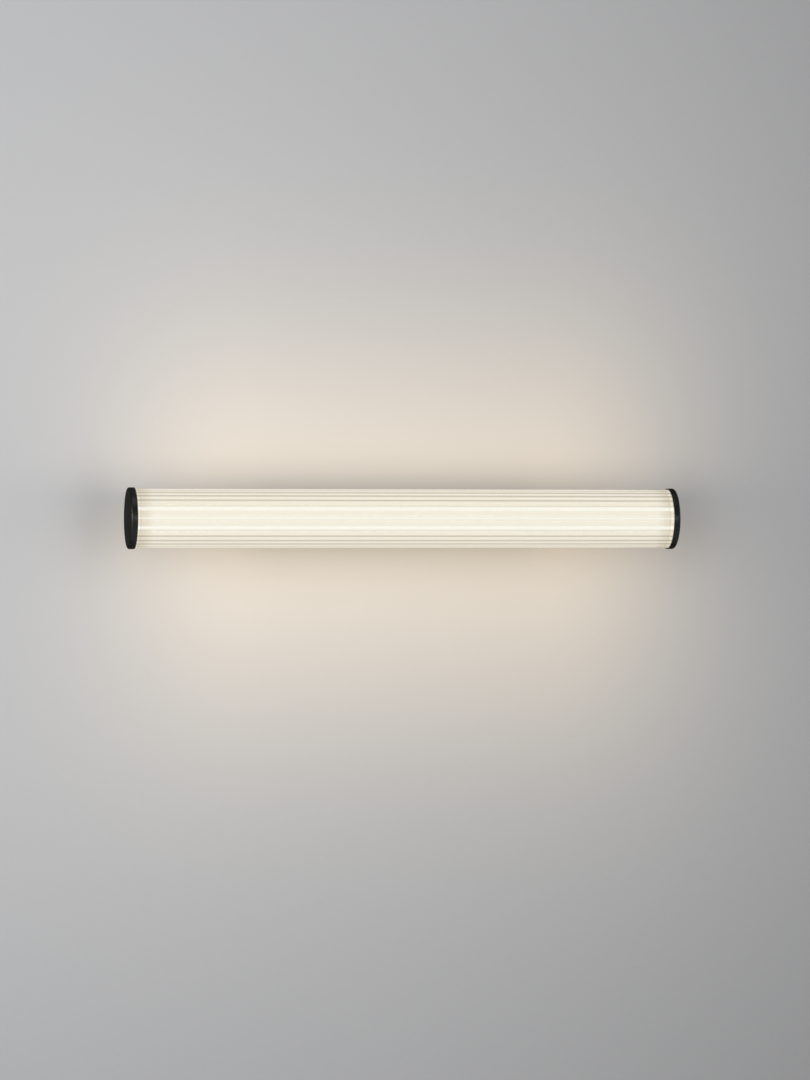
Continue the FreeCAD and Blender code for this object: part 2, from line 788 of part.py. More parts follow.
def terminal_block():
    """Moulded block: a barrel tunnel per pole, screw wells in front, counterbored fixings."""
    half_width = pole_pitch + terminal_margin
    front_y = bracket_front_y - terminal_height
    start_x = terminal_x - terminal_length / 2
    end_x = terminal_x + terminal_length / 2
    body = block(start_x, end_x, front_y, bracket_front_y, -half_width, half_width)
    long_edges = [e for e in body.Edges
                  if abs(e.BoundBox.YMax - front_y) < 1e-6 and e.BoundBox.XLength > 1]
    body = body.makeChamfer(terminal_chamfer, long_edges)
    for z in pole_places():
        body = body.cut(rod_x(barrel_radius, start_x, end_x, barrel_y, z))
        for x in clamp_screw_places_x():
            body = body.cut(rod_y(clamp_access_radius, front_y, barrel_y, x, z))
    for x, z in block_screw_places():
        body = body.cut(rod_y(block_screw_radius + slip_clearance, front_y, bracket_front_y, x, z))
        body = body.cut(rod_y(block_screw_head_radius + slip_clearance, front_y,
                              front_y + block_screw_seat_depth, x, z))
    return body


def terminal_barrels():
    """A brass clamp barrel in each tunnel, cross-drilled for its two screws."""
    barrels = []
    for z in pole_places():
        half = barrel_length / 2
        barrel = rod_x(barrel_radius, terminal_x - half, terminal_x + half, barrel_y, z)
        barrel = barrel.cut(rod_x(barrel_bore_radius, terminal_x - half, terminal_x + half, barrel_y, z))
        for x in clamp_screw_places_x():
            thread_radius = clamp_screw_radius + thread_clearance
            barrel = barrel.cut(rod_y(thread_radius, barrel_y - 2 * barrel_radius, barrel_y, x, z))
        barrels.append(barrel)
    return barrels


def terminal_screws():
    """Clamp screws, tips just over the leads and heads down their wells."""
    screws = []
    head_y = bracket_front_y - terminal_height + clamp_screw_recess
    tip_y = barrel_y - mains_lead_radius - lead_clearance
    for z in pole_places():
        for x in clamp_screw_places_x():
            screws.append(rod_y(clamp_screw_radius, head_y, tip_y, x, z))
    return screws


def pan_screw(radius, head_radius, head_height, seat_y, x, z):
    """A screw along Y whose head sits on seat_y and whose tip is flush with the wall face."""
    shank = rod_y(radius, seat_y, 0, x, z)
    return shank.fuse(rod_y(head_radius, seat_y - head_height, seat_y, x, z))


def terminal_block_screws():
    seat_y = bracket_front_y - terminal_height + block_screw_seat_depth
    return [pan_screw(block_screw_radius, block_screw_head_radius, block_screw_head_height, seat_y, x, z)
            for x, z in block_screw_places()]


def driver_case():
    """Moulded case with a foot at each end and a lead hole for each wire."""
    front_y = bracket_front_y - driver_height
    case = block(driver_start_x, driver_end_x, front_y, bracket_front_y, -driver_width / 2, driver_width / 2)
    uprights = [e for e in case.Edges if abs(e.tangentAt(e.FirstParameter).y) > 0.9]
    case = case.makeFillet(driver_corner_radius, uprights)
    feet_y = bracket_front_y - driver_foot_thickness
    feet = block(driver_start_x - driver_foot_length, driver_end_x + driver_foot_length,
                 feet_y, bracket_front_y, -driver_foot_width / 2, driver_foot_width / 2)
    case = case.fuse(feet).removeSplitter()
    for x, z in driver_screw_places():
        case = case.cut(rod_y(driver_screw_radius + slip_clearance, feet_y, bracket_front_y, x, z))
    for side in (-1, 1):
        input_z = side * driver_input_spacing / 2
        output_z = side * driver_output_spacing / 2
        case = case.cut(rod_x(mains_lead_radius + lead_clearance, driver_start_x,
                              driver_start_x + driver_lead_hole_depth, driver_lead_y, input_z))
        case = case.cut(rod_x(led_lead_radius + lead_clearance,
                              driver_end_x - driver_lead_hole_depth, driver_end_x, driver_lead_y, output_z))
    return case.cut(driver_lid_shape(0.0))


def driver_lid_shape(gap):
    """The lid's block, drawn in by a gap all round."""
    front_y = bracket_front_y - driver_height
    inset = driver_lid_inset + gap
    lid = block(driver_start_x + inset, driver_end_x - inset, front_y, front_y + driver_lid_thickness,
                -driver_width / 2 + inset, driver_width / 2 - inset)
    uprights = [e for e in lid.Edges if abs(e.tangentAt(e.FirstParameter).y) > 0.9]
    return lid.makeFillet(driver_corner_radius - driver_lid_inset, uprights)


def driver_lid():
    return driver_lid_shape(slip_clearance)


def driver_screws():
    seat_y = bracket_front_y - driver_foot_thickness
    return [pan_screw(driver_screw_radius, driver_screw_head_radius, driver_screw_head_height, seat_y, x, z)
            for x, z in driver_screw_places()]


# ---- Protective earth ----------------------------------------------------------

def earth_stud():
    return rod_y(earth_stud_radius, -earth_stud_reach, 0, earth_x, earth_z)


def lug_barrel_start_z():
    return earth_z + lug_ring_radius + lug_neck_length


def earth_lug():
    """Ring lug flat on the bracket, its crimp barrel pointing up."""
    ring_y = bracket_front_y - lug_thickness
    start_z = lug_barrel_start_z()
    ring = rod_y(lug_ring_radius, ring_y, bracket_front_y, earth_x, earth_z)
    neck = block(earth_x - lug_barrel_radius, earth_x + lug_barrel_radius, ring_y, bracket_front_y,
                 earth_z, start_z + lug_neck_length)
    barrel = Part.makeCylinder(lug_barrel_radius, lug_barrel_length,
                               Vector(earth_x, bracket_front_y - lug_barrel_radius, start_z))
    bore = Part.makeCylinder(mains_lead_radius + thread_clearance, lug_barrel_length + lug_neck_length,
                             Vector(earth_x, bracket_front_y - lug_barrel_radius, start_z))
    lug = ring.fuse([neck, barrel]).cut(bore)
    return lug.cut(rod_y(earth_stud_radius + slip_clearance, ring_y, bracket_front_y, earth_x, earth_z))


def earth_washer():
    seat_y = bracket_front_y - lug_thickness
    disc = rod_y(earth_washer_radius, seat_y - earth_washer_thickness, seat_y, earth_x, earth_z)
    return disc.cut(rod_y(earth_stud_radius + slip_clearance, seat_y - earth_washer_thickness, seat_y,
                          earth_x, earth_z))


def earth_nut():
    seat_y = bracket_front_y - lug_thickness - earth_washer_thickness
    return hex_nut_y(earth_nut_across_flats, earth_stud_radius + thread_clearance,
                     seat_y - earth_nut_thickness, seat_y, earth_x, earth_z)


def mains_lead_start(pole_z):
    """Under the inner clamp screw of a pole, on the driver's side."""
    return Vector(clamp_screw_places_x()[1] - clamp_screw_radius, barrel_y, pole_z)


def mains_lead(pole_z, input_z):
    """From a terminal pole to the driver's input."""
    block_end_x = terminal_x + terminal_length / 2
    straight = lead_straight_share * (driver_start_x - block_end_x)
    points = [
        mains_lead_start(pole_z),
        Vector(block_end_x + straight, barrel_y, pole_z),
        Vector(driver_start_x - straight, driver_lead_y, input_z),
        Vector(driver_start_x + driver_lead_hole_depth, driver_lead_y, input_z),
    ]
    return lead(points, mains_lead_radius)


def earth_lead():
    """From the top pole down to the ring lug."""
    lug_y = bracket_front_y - lug_barrel_radius
    lug_top_z = lug_barrel_start_z() + lug_barrel_length
    points = [
        mains_lead_start(pole_pitch),
        Vector(earth_x, barrel_y, pole_pitch),
        Vector(earth_x, lug_y, lug_top_z + 2 * mains_lead_radius),
        Vector(earth_x, lug_y, lug_barrel_start_z() + lug_barrel_length / 3),
    ]
    return lead(points, mains_lead_radius, 4 * mains_lead_radius)


# ---- Assembly ------------------------------------------------------------------

def pair(shape):
    return [shape, to_left(shape)]


def build():
    """Every node's name with its solid or solids."""
    return {
        "glass_tube": [glass_tube()],
        "diffuser_tube": [diffuser_tube()],
        "right_end_cap": [end_cap()],
        "left_end_cap": [to_left(end_cap())],
        "cap_studs": pair(cap_stud()),
        "right_end_seal": [end_seal()],
        "left_end_seal": [to_left(end_seal())],
        "right_end_plate": [end_plate()],
        "left_end_plate": [to_left(end_plate())],
        "end_plate_screws": end_plate_screws(),
        "led_spine": [led_spine()],
        "upper_led_board": [led_board(1)],
        "lower_led_board": [led_board(-1)],
        "upper_led_chips": led_chips(1),
        "lower_led_chips": led_chips(-1),
        "led_board_screws": led_board_screws(),
        "positive_led_lead": [led_lead(1)],
        "negative_led_lead": [led_lead(-1)],
        "board_link_lead": [board_link_lead()],
        "right_stem": [stem()],
        "left_stem": [to_left(stem())],
        "right_spacer": [spacer()],
        "left_spacer": [to_left(spacer())],
        "right_saddle_seal": [saddle_seal()],
        "left_saddle_seal": [to_left(saddle_seal())],
        "stem_washers": pair(stem_washer()),
        "stem_nuts": pair(stem_nut()),
        "wire_bush": [wire_bush()],
        "rear_housing": [rear_housing()],
        "wall_gasket": [wall_gasket()],
        "wall_bracket": [wall_bracket()],
        "housing_screws": pair(housing_screw()),
        "cable_bush": [cable_bush()],
        "terminal_block": [terminal_block()],
        "terminal_barrels": terminal_barrels(),
        "terminal_screws": terminal_screws(),
        "terminal_block_screws": terminal_block_screws(),
        "driver_case": [driver_case()],
        "driver_lid": [driver_lid()],
        "driver_screws": driver_screws(),
        "earth_stud": [earth_stud()],
        "earth_lug": [earth_lug()],
        "earth_washer": [earth_washer()],
        "earth_nut": [earth_nut()],
        "live_lead": [mains_lead(0.0, driver_input_spacing / 2)],
        "neutral_lead": [mains_lead(-pole_pitch, -driver_input_spacing / 2)],
        "earth_lead": [earth_lead()],
    }


def write_parts(nodes):
    os.makedirs("parts", exist_ok=True)
    for name, solids in nodes.items():
        shape = solids[0] if len(solids) == 1 else Part.makeCompound(solids)
        shape.exportStep(os.path.join("parts", name + ".step"))


write_parts(build())
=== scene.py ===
import bmesh
import bpy
import math
from mathutils import Matrix, Vector


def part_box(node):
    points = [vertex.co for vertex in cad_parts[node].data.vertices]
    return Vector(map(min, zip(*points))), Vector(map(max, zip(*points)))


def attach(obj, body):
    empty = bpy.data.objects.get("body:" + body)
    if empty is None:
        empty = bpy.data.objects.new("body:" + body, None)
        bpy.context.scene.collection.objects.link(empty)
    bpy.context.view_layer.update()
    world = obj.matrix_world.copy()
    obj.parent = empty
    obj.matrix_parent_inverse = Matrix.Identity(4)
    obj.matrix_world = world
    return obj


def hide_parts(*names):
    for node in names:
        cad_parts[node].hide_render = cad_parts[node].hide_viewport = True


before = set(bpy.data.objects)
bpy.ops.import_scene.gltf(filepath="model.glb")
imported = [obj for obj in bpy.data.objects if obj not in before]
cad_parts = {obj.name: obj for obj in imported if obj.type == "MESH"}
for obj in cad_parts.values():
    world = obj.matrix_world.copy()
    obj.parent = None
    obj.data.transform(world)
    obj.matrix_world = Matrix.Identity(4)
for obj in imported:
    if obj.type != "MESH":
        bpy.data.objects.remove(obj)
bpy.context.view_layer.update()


# ---- The view ------------------------------------------------------------------
# The light is seen level with the tube, from about four and a half metres away and
# a little to the left, so that the left cap shows its face and the right cap its rim.

frame_width_px = 810
focal_px = 4274
sensor_width = 36.0
camera_place = (-0.88, -4.6, -0.0232)
camera_turn = math.radians(11.012)

camera_data = bpy.data.cameras.new("camera")
camera_data.sensor_fit = "HORIZONTAL"
camera_data.sensor_width = sensor_width
camera_data.lens = focal_px / frame_width_px * sensor_width
camera = bpy.data.objects.new("camera", camera_data)
camera.location = camera_place
camera.rotation_euler = (math.pi / 2, 0, -camera_turn)
bpy.context.scene.collection.objects.link(camera)
bpy.context.scene.camera = camera
bpy.context.scene.view_settings.view_transform = "Standard"


# ---- The wall ------------------------------------------------------------------
# A plain painted wall, daylit from the left, with the warm glow that the lit tube
# throws on it above and below.  It is a backdrop and shows from the room side only.

mm = 0.001


class Field:
    """The value of a socket over a surface; arithmetic on it adds the Math nodes."""

    def __init__(self, finish, socket):
        self.finish = finish
        self.socket = socket

    def worked(self, operation, *values):
        """A Math node on these values, or on this value alone."""
        values = values or (self,)
        return self.finish.node("ShaderNodeMath", {"operation": operation}, dict(enumerate(values)))

    def __add__(self, other):
        return self.worked("ADD", self, other)

    def __radd__(self, other):
        return self.worked("ADD", other, self)

    def __sub__(self, other):
        return self.worked("SUBTRACT", self, other)

    def __rsub__(self, other):
        return self.worked("SUBTRACT", other, self)

    def __mul__(self, other):
        return self.worked("MULTIPLY", self, other)

    def __rmul__(self, other):
        return self.worked("MULTIPLY", other, self)

    def __truediv__(self, other):
        return self.worked("DIVIDE", self, other)

    def __rtruediv__(self, other):
        return self.worked("DIVIDE", other, self)

    def __pow__(self, other):
        return self.worked("POWER", self, other)

    def __abs__(self):
        return self.worked("ABSOLUTE")

    def bell(self, width, power=2):
        """1 where the value is 0, falling off like a bell of this width on both sides."""
        fall = 0 - (abs(self) / width) ** power
        return fall.worked("EXPONENT")

    def curve(self, level, slope, bend):
        """A level, plus the value times a slope, plus its square times a bend."""
        return level + slope * self + bend * self ** 2

    def to_and_fro(self, reach):
        """From 0 up to reach and down again, over and over as the value grows."""
        return self.worked("PINGPONG", self, reach)

    def above(self, low):
        """How far the value is over low, and 0 below it."""
        return self.worked("MAXIMUM", self - low, 0.0)

    def step(self, low, high):
        """A soft step from 0 at low to 1 at high."""
        sockets = {"Value": self, "From Min": low, "From Max": high}
        return self.finish.node("ShaderNodeMapRange", {"interpolation_type": "SMOOTHSTEP"}, sockets)


class Finish:
    """The nodes of one material or of the world."""

    def __init__(self, owner):
        owner.use_nodes = True
        self.owner = owner
        self.tree = owner.node_tree
        self.tree.nodes.clear()

    def node(self, kind, settings=None, sockets=None, output=0):
        """Adds a node: first its settings, then the values or links of its sockets."""
        made = self.tree.nodes.new(kind)
        for name, value in (settings or {}).items():
            setattr(made, name, value)
        for name, value in (sockets or {}).items():
            if isinstance(value, Field):
                self.tree.links.new(value.socket, made.inputs[name])
            else:
                made.inputs[name].default_value = value
        return Field(self, made.outputs[output])

    def place(self):
        """The point on the piece, in metres in the light's own frame."""
        return self.node("ShaderNodeTexCoord", output="Object")

    def along(self, axis):
        """One coordinate of that point."""
        return self.node("ShaderNodeSeparateXYZ", sockets={0: self.place()}, output=axis)

    def outward(self, centre, spread):
        """The way from a centre line to the point; spread is 0 along that line and 1 across."""
        place = self.place()
        shift = self.node("ShaderNodeVectorMath", {"operation": "SUBTRACT"}, {0: place, 1: centre})
        return self.node("ShaderNodeVectorMath", {"operation": "MULTIPLY"}, {0: shift, 1: spread})

    def radius(self, centre, spread):
        """The distance from that centre line."""
        way = self.outward(centre, spread)
        return self.node("ShaderNodeVectorMath", {"operation": "LENGTH"}, {0: way}, output="Value")

    def noise(self, size, stretch=(1, 1, 1), detail=2.0):
        """Soft grain from 0 to 1 whose features have this size; stretch squeezes an axis."""
        place = self.place()
        point = self.node("ShaderNodeVectorMath", {"operation": "MULTIPLY"}, {0: place, 1: stretch})
        sockets = {"Vector": point, "Scale": 1 / size, "Detail": detail}
        return self.node("ShaderNodeTexNoise", sockets=sockets)

    def mix(self, share, first, second):
        """From the first colour to the second as share goes from 0 to 1."""
        settings = {"data_type": "RGBA"}
        ends = [end if isinstance(end, Field) else (*end, 1.0) for end in (first, second)]
        return self.node("ShaderNodeMix", settings, {0: share, 6: ends[0], 7: ends[1]}, output=2)

    def scaled(self, share, colour):
        """A colour made darker or lighter by a factor that may go over 1."""
        tint = colour if isinstance(colour, Field) else Vector(colour)
        return self.node("ShaderNodeVectorMath", {"operation": "SCALE"}, {0: tint, "Scale": share})

    def rings(self, centre, pitch):
        """Fine rings about an axis along X, from 0 to 1, as a lathe tool leaves them."""
        sockets = {"W": self.radius(centre, (0, 1, 1)), "Scale": 1 / pitch, "Detail": 1.0}
        return self.node("ShaderNodeTexNoise", {"noise_dimensions": "1D"}, sockets)

    def bump(self, height, depth):
        """A normal that follows a height from 0 to 1, of this depth in metres."""
        sockets = {"Height": height, "Distance": depth, "Strength": 1.0}
        return self.node("ShaderNodeBump", sockets=sockets)

    def shader(self, **sockets):
        """A Principled shader; its sockets are named with underscores."""
        named = {name.replace("_", " "): value for name, value in sockets.items()}
        for name, value in named.items():
            if "Color" in name and not isinstance(value, Field):
                named[name] = (*value, 1.0)
        return self.node("ShaderNodeBsdfPrincipled", sockets=named)

    def surface(self, **sockets):
        """Ends a material in one Principled shader and returns the material."""
        return self.shown(self.shader(**sockets))

    def shown(self, shader, kind="ShaderNodeOutputMaterial"):
        """Ends the nodes in this shader and returns their material or world."""
        out = self.tree.nodes.new(kind)
        self.tree.links.new(shader.socket, out.inputs["Surface"])
        return self.owner


def new_finish(name):
    """The nodes of a new material of this name."""
    return Finish(bpy.data.materials.new(name))


wall_half_size = 4.0
wall_gap = 0.4 * mm
wall_lit_share = 0.35
wall_strength = 1.07
plaster_grain = 2.2 * mm
plaster_depth = 0.15 * mm
plaster_low = 0.985
plaster_gain = 0.03

daylight_tint = (0.984, 0.984, 1.0)
daylight_across = (0.497, -0.169, -0.135)
daylight_upward = (1.0, 0.1025, -0.418)
daylight_reach = 1.3
cap_shade = 0.10
cap_shade_x = 328 * mm
cap_shade_width = 26 * mm
cap_shade_height = 54 * mm
tube_shade = 0.53
tube_shade_z = -3.3 * mm
tube_shade_height = 49.2 * mm

glow_tint = (1.0, 0.754, 0.433)
glow_level = 0.381
glow_x = 4.5 * mm
glow_half_length = 158 * mm
glow_end_fade = 148 * mm
glow_end_spread = 0.21
glow_z = -9.2 * mm
glow_height = 224.6 * mm
glow_fall_power = 1.822
glow_dip_z = 22.4 * mm
glow_dip_low = -37.4 * mm
glow_dip_high = 55.4 * mm

gloss_loss = 0.45
gloss_loss_at_ends = 0.57
gloss_lit_loss = 0.85
end_dark_from = 255 * mm
end_dark_full = 285 * mm
right_pale_from = 340 * mm
right_pale_full = 440 * mm
touch_near = 1 * mm
touch_far = 4 * mm

# Daylight falls off across and up the wall, and the caps and the tube shade it.  The
# tube's glow spreads above and below it and fades past its ends.
wall = new_finish("painted_wall")
x = wall.along(0)
z = wall.along(2)
beyond_lit_part = abs(x - glow_x).above(glow_half_length)
glow_reach = (beyond_lit_part / (glow_end_fade + glow_end_spread * abs(z))).bell(1.0)
beside_caps = (abs(x) - cap_shade_x).bell(cap_shade_width) * z.bell(cap_shade_height)
behind_tube = (z - tube_shade_z).bell(tube_shade_height) * glow_reach
across = x * x.bell(daylight_reach, 4)
upward = z * z.bell(daylight_reach, 4)
plaster = wall.noise(plaster_grain, detail=3.0)
daylight = across.curve(*daylight_across) * upward.curve(*daylight_upward)
daylight = daylight * (1 - cap_shade * beside_caps) * (1 - tube_shade * behind_tube)
daylight = daylight * (plaster_low + plaster_gain * plaster)
glow_fall = (z - glow_z).bell(glow_height, glow_fall_power)
glow_dip = abs(z - glow_dip_z).step(glow_dip_low, glow_dip_high)
glow = glow_level * glow_fall * glow_reach * glow_dip
shade = wall.node(
    "ShaderNodeVectorMath", {"operation": "ADD"},
    {0: wall.scaled(daylight, daylight_tint), 1: wall.scaled(glow, glow_tint)})

# Gloss sees the wall dimmer, most of all beside the caps, and gloss that starts close
# behind it, as on the bracket, sees through it to the room.
gloss_ray = wall.node("ShaderNodeLightPath", output="Is Glossy Ray")
ray_length = wall.node("ShaderNodeLightPath", output="Ray Length")
end_dark = abs(x).step(end_dark_from, end_dark_full) * (1 - x.step(right_pale_from, right_pale_full))
strength = wall_strength - (gloss_loss + gloss_loss_at_ends * end_dark) * gloss_ray
lit_share = wall_lit_share * (1 - gloss_lit_loss * gloss_ray)
painted = wall.node("ShaderNodeEmission", sockets={"Color": shade, "Strength": strength})
plaster_bump = wall.bump(plaster, plaster_depth)
lit = wall.node("ShaderNodeBsdfDiffuse", sockets={"Color": shade, "Normal": plaster_bump})
front = wall.node("ShaderNodeMixShader", sockets={0: lit_share, 1: painted, 2: lit})
clear = wall.node("ShaderNodeBsdfTransparent")
back_side = wall.node("ShaderNodeNewGeometry", output="Backfacing")
touching = gloss_ray * (1 - ray_length.step(touch_near, touch_far))
unseen = back_side.worked("MAXIMUM", back_side, touching)
wall_paint = wall.shown(wall.node("ShaderNodeMixShader", sockets={0: unseen, 1: front, 2: clear}))

form = bmesh.new()
bmesh.ops.create_grid(form, x_segments=1, y_segments=1, size=wall_half_size)
bmesh.ops.rotate(form, verts=form.verts, matrix=Matrix.Rotation(math.pi / 2, 3, "X"))
bmesh.ops.translate(form, verts=form.verts, vec=(0, wall_gap, 0))


def stage_object(name, form, paint):
    """A surface of the studio, which isn't part of the light."""
    mesh = bpy.data.meshes.new(name)
    form.to_mesh(mesh)
    form.free()
    mesh.materials.append(paint)
    made = bpy.data.objects.new(name, mesh)
    bpy.context.scene.collection.objects.link(made)
    return made


wall_sheet = stage_object("wall", form, wall_paint)
wall_sheet.visible_diffuse = False
wall_sheet.visible_shadow = False


# ---- The floor and the studio light --------------------------------------------
# A plain pale floor far below the light, in an even pale room, lit by a soft window at the
# front left and weaker strips at the left, in front and above.  What gloss sees of the
# room is dark above and below, with a bright strip at the left and a dim one at the right.

floor_z = -1.4
floor_half_size = 40.0
floor_grain = 50 * mm
floor_roughness = 0.7
floor_grey = (0.62, 0.62, 0.63)
floor_grey_high = (0.66, 0.66, 0.66)
floor_pale_grey = (0.80, 0.80, 0.80, 1.0)
floor_pale_share = 0.6

floor = new_finish("pale_floor")
floor_seen = floor.node("ShaderNodeLightPath", output="Is Camera Ray")
floor_lit = floor.shader(
    Base_Color=floor.mix(floor.noise(floor_grain), floor_grey, floor_grey_high),
    Roughness=floor_roughness)
floor_pale = floor.node("ShaderNodeEmission", sockets={"Color": floor_pale_grey})
pale_share = floor_pale_share * floor_seen
floor_top = floor.node("ShaderNodeMixShader", sockets={0: pale_share, 1: floor_lit, 2: floor_pale})
under_floor = floor.node("ShaderNodeNewGeometry", output="Backfacing")
floor_clear = floor.node("ShaderNodeBsdfTransparent")
floor_paint = floor.shown(
    floor.node("ShaderNodeMixShader", sockets={0: under_floor, 1: floor_top, 2: floor_clear}))
form = bmesh.new()
bmesh.ops.create_grid(form, x_segments=1, y_segments=1, size=floor_half_size)
bmesh.ops.translate(form, verts=form.verts, vec=(0, 0, floor_z))
stage_object("floor", form, floor_paint)

room_colour = (0.98, 0.99, 1.0, 1.0)
room_light = 0.42
room_seen = 0.66
gloss_level = 0.24
gloss_dark = 0.05
gloss_height = 0.5
rear_level = 0.40
rear_edge = 0.2
left_strip_level = 6.0
left_strip_at = -0.97
left_strip_width = 0.12
left_strip_height = 0.35
right_strip_level = 1.3
right_strip_at = 1.0
right_strip_width = 0.3

room = Finish(bpy.data.worlds.new("room"))
path_seen = room.node("ShaderNodeLightPath", output="Is Camera Ray")
path_glossy = room.node("ShaderNodeLightPath", output="Is Glossy Ray")
room_across = room.along(0)
room_upward = room.along(2)
front_room = gloss_dark + (gloss_level - gloss_dark) * room_upward.bell(gloss_height)
rear_room = rear_level * room.along(1).step(0.0, rear_edge)
left_strip = (room_across - left_strip_at).bell(left_strip_width) * room_upward.bell(left_strip_height)
right_strip = (room_across - right_strip_at).bell(right_strip_width)
reflected = front_room + rear_room + left_strip_level * left_strip + right_strip_level * right_strip
strength = room_light + path_glossy * (reflected - room_light) + path_seen * (room_seen - room_light)
air = room.node("ShaderNodeBackground", sockets={"Color": room_colour, "Strength": strength})
bpy.context.scene.world = room.shown(air, "ShaderNodeOutputWorld")

tube_low, tube_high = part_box("glass_tube")
tube_middle = (tube_low + tube_high) / 2


def soft_light(name, place, width, height, power, colour):
    """A rectangular soft box that faces the tube; the camera doesn't see it."""
    lamp = bpy.data.lights.new(name, "AREA")
    lamp.shape = "RECTANGLE"
    lamp.size = width
    lamp.size_y = height
    lamp.energy = power
    lamp.color = colour
    made = bpy.data.objects.new(name, lamp)
    made.location = place
    made.rotation_euler = (tube_middle - Vector(place)).to_track_quat("-Z", "Y").to_euler()
    made.visible_camera = False
    bpy.context.scene.collection.objects.link(made)


soft_light("window_light", place=(-1.6, -2.6, 0.15), width=1.0, height=1.6, power=22.0,
           colour=(0.96, 0.98, 1.0))
soft_light("side_strip", place=(-2.4, -0.9, 0.0), width=0.3, height=2.4, power=22.0,
           colour=(0.96, 1.0, 0.99))
soft_light("front_strip", place=(0.5, -2.6, 0.05), width=1.6, height=0.35, power=6.0,
           colour=(0.98, 1.0, 0.98))
soft_light("top_light", place=(0.0, -0.8, 1.6), width=1.6, height=1.0, power=4.0,
           colour=(1.0, 0.99, 0.97))


# ---- Ribbed glass tube ----------------------------------------------------------
# Clear pressed glass, 28 convex ribs that run its whole length and meet in sharp
# grooves, with a plain bore.  Two holes in its wall side let the stems through.

rib_count = 28
rib_steps = 12
rib_depth = 1.1 * mm
glass_bore = 28.2 * mm
stem_hole = 7.5 * mm
round_steps = 5
same_point = 1e-7
rib_crest = 31.7 * mm
rib_groove = rib_crest - rib_depth
sharp_fold = math.radians(30)


def turned(profile, rounds=None, steps=64, centre=(0, 0, 0), axis="X", closed=False):
    """A piece turned on a lathe about X or Y: profile points are (along, radius).

    rounds gives the fillet at the index of a profile point; a closed profile has a bore.
    """
    form = bmesh.new()
    corners = [form.verts.new((along, 0, radius)) for along, radius in profile]
    for first, second in zip(corners, corners[1:]):
        form.edges.new((first, second))
    if closed:
        form.edges.new((corners[-1], corners[0]))
    for index, fillet in (rounds or {}).items():
        bmesh.ops.bevel(form, geom=[corners[index]], offset=fillet, offset_type="OFFSET",
                        affect="VERTICES", segments=round_steps, profile=0.5, material=-1)
    bmesh.ops.spin(form, geom=form.verts[:] + form.edges[:], cent=(0, 0, 0), axis=(1, 0, 0),
                   angle=math.tau, steps=steps, use_merge=True)
    bmesh.ops.remove_doubles(form, verts=form.verts, dist=same_point)
    if axis == "Y":
        bmesh.ops.rotate(form, verts=form.verts, matrix=Matrix.Rotation(math.pi / 2, 3, "Z"))
        place = Vector((centre[0], 0, centre[2]))
    else:
        place = Vector((0, centre[1], centre[2]))
    bmesh.ops.translate(form, verts=form.verts, vec=place)
    bmesh.ops.recalc_face_normals(form, faces=form.faces)
    return form


def folds_sharp(form):
    """Shades round faces smooth and keeps folds sharp."""
    for edge in form.edges:
        edge.smooth = edge.is_manifold and edge.calc_face_angle() < sharp_fold
    for face in form.faces:
        face.smooth = True


def as_piece(name, form, finish):
    """Makes a form a piece of the light, which doesn't move on anything."""
    folds_sharp(form)
    mesh = bpy.data.meshes.new(name)
    form.to_mesh(mesh)
    form.free()
    mesh.materials.append(finish)
    piece = bpy.data.objects.new(name, mesh)
    bpy.context.scene.collection.objects.link(piece)
    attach(piece, "root")
    return piece


def drilled(piece, cutters):
    """Cuts each cutter form out of a piece and keeps its folds sharp."""
    for cutter in cutters:
        mesh = bpy.data.meshes.new("cutter")
        cutter.to_mesh(mesh)
        cutter.free()
        tool = bpy.data.objects.new("cutter", mesh)
        bpy.context.scene.collection.objects.link(tool)
        cut = piece.modifiers.new("cut", "BOOLEAN")
        cut.operation = "DIFFERENCE"
        cut.solver = "EXACT"
        cut.object = tool
        evaluated = piece.evaluated_get(bpy.context.evaluated_depsgraph_get())
        result = bpy.data.meshes.new_from_object(evaluated)
        piece.modifiers.clear()
        piece.data = result
        bpy.data.objects.remove(tool)
    form = bmesh.new()
    form.from_mesh(piece.data)
    folds_sharp(form)
    form.to_mesh(piece.data)
    form.free()
    return piece


def rod(radius, start, end, centre, axis, steps=48):
    """A plain round bar along X or Y, to cut holes with."""
    profile = [(start, 0), (start, radius), (end, radius), (end, 0)]
    return turned(profile, steps=steps, centre=centre, axis=axis)


half_rib = math.pi / rib_count
groove_ahead = rib_groove * math.cos(half_rib)
rib_centre = (rib_crest ** 2 - rib_groove ** 2) / (2 * (rib_crest - groove_ahead))
rib_round = rib_crest - rib_centre


def rib_radius(angle):
    """The glass's outer radius at an angle round the tube, measured from a groove."""
    from_crest = angle % (2 * half_rib) - half_rib
    rise = rib_round ** 2 - (rib_centre * math.sin(from_crest)) ** 2
    return rib_centre * math.cos(from_crest) + math.sqrt(rise)


form = bmesh.new()
ring_steps = rib_count * rib_steps
outer_ring = bmesh.ops.create_circle(form, segments=ring_steps, radius=rib_crest)["verts"]
for vert in outer_ring:
    radius = rib_radius(math.atan2(vert.co.x, vert.co.y) + math.tau)
    vert.co *= radius / rib_crest
bmesh.ops.create_circle(form, segments=ring_steps, radius=glass_bore)
end_face = bmesh.ops.bridge_loops(form, edges=form.edges[:])["faces"]
grown = bmesh.ops.extrude_face_region(form, geom=end_face)["geom"]
moved = [part for part in grown if isinstance(part, bmesh.types.BMVert)]
bmesh.ops.translate(form, verts=moved, vec=(0, 0, tube_high.x - tube_low.x))
bmesh.ops.rotate(form, verts=form.verts, matrix=Matrix.Rotation(math.pi / 2, 3, "Y"))
bmesh.ops.translate(form, verts=form.verts, vec=(tube_low.x, tube_middle.y, tube_middle.z))
bmesh.ops.recalc_face_normals(form, faces=form.faces)

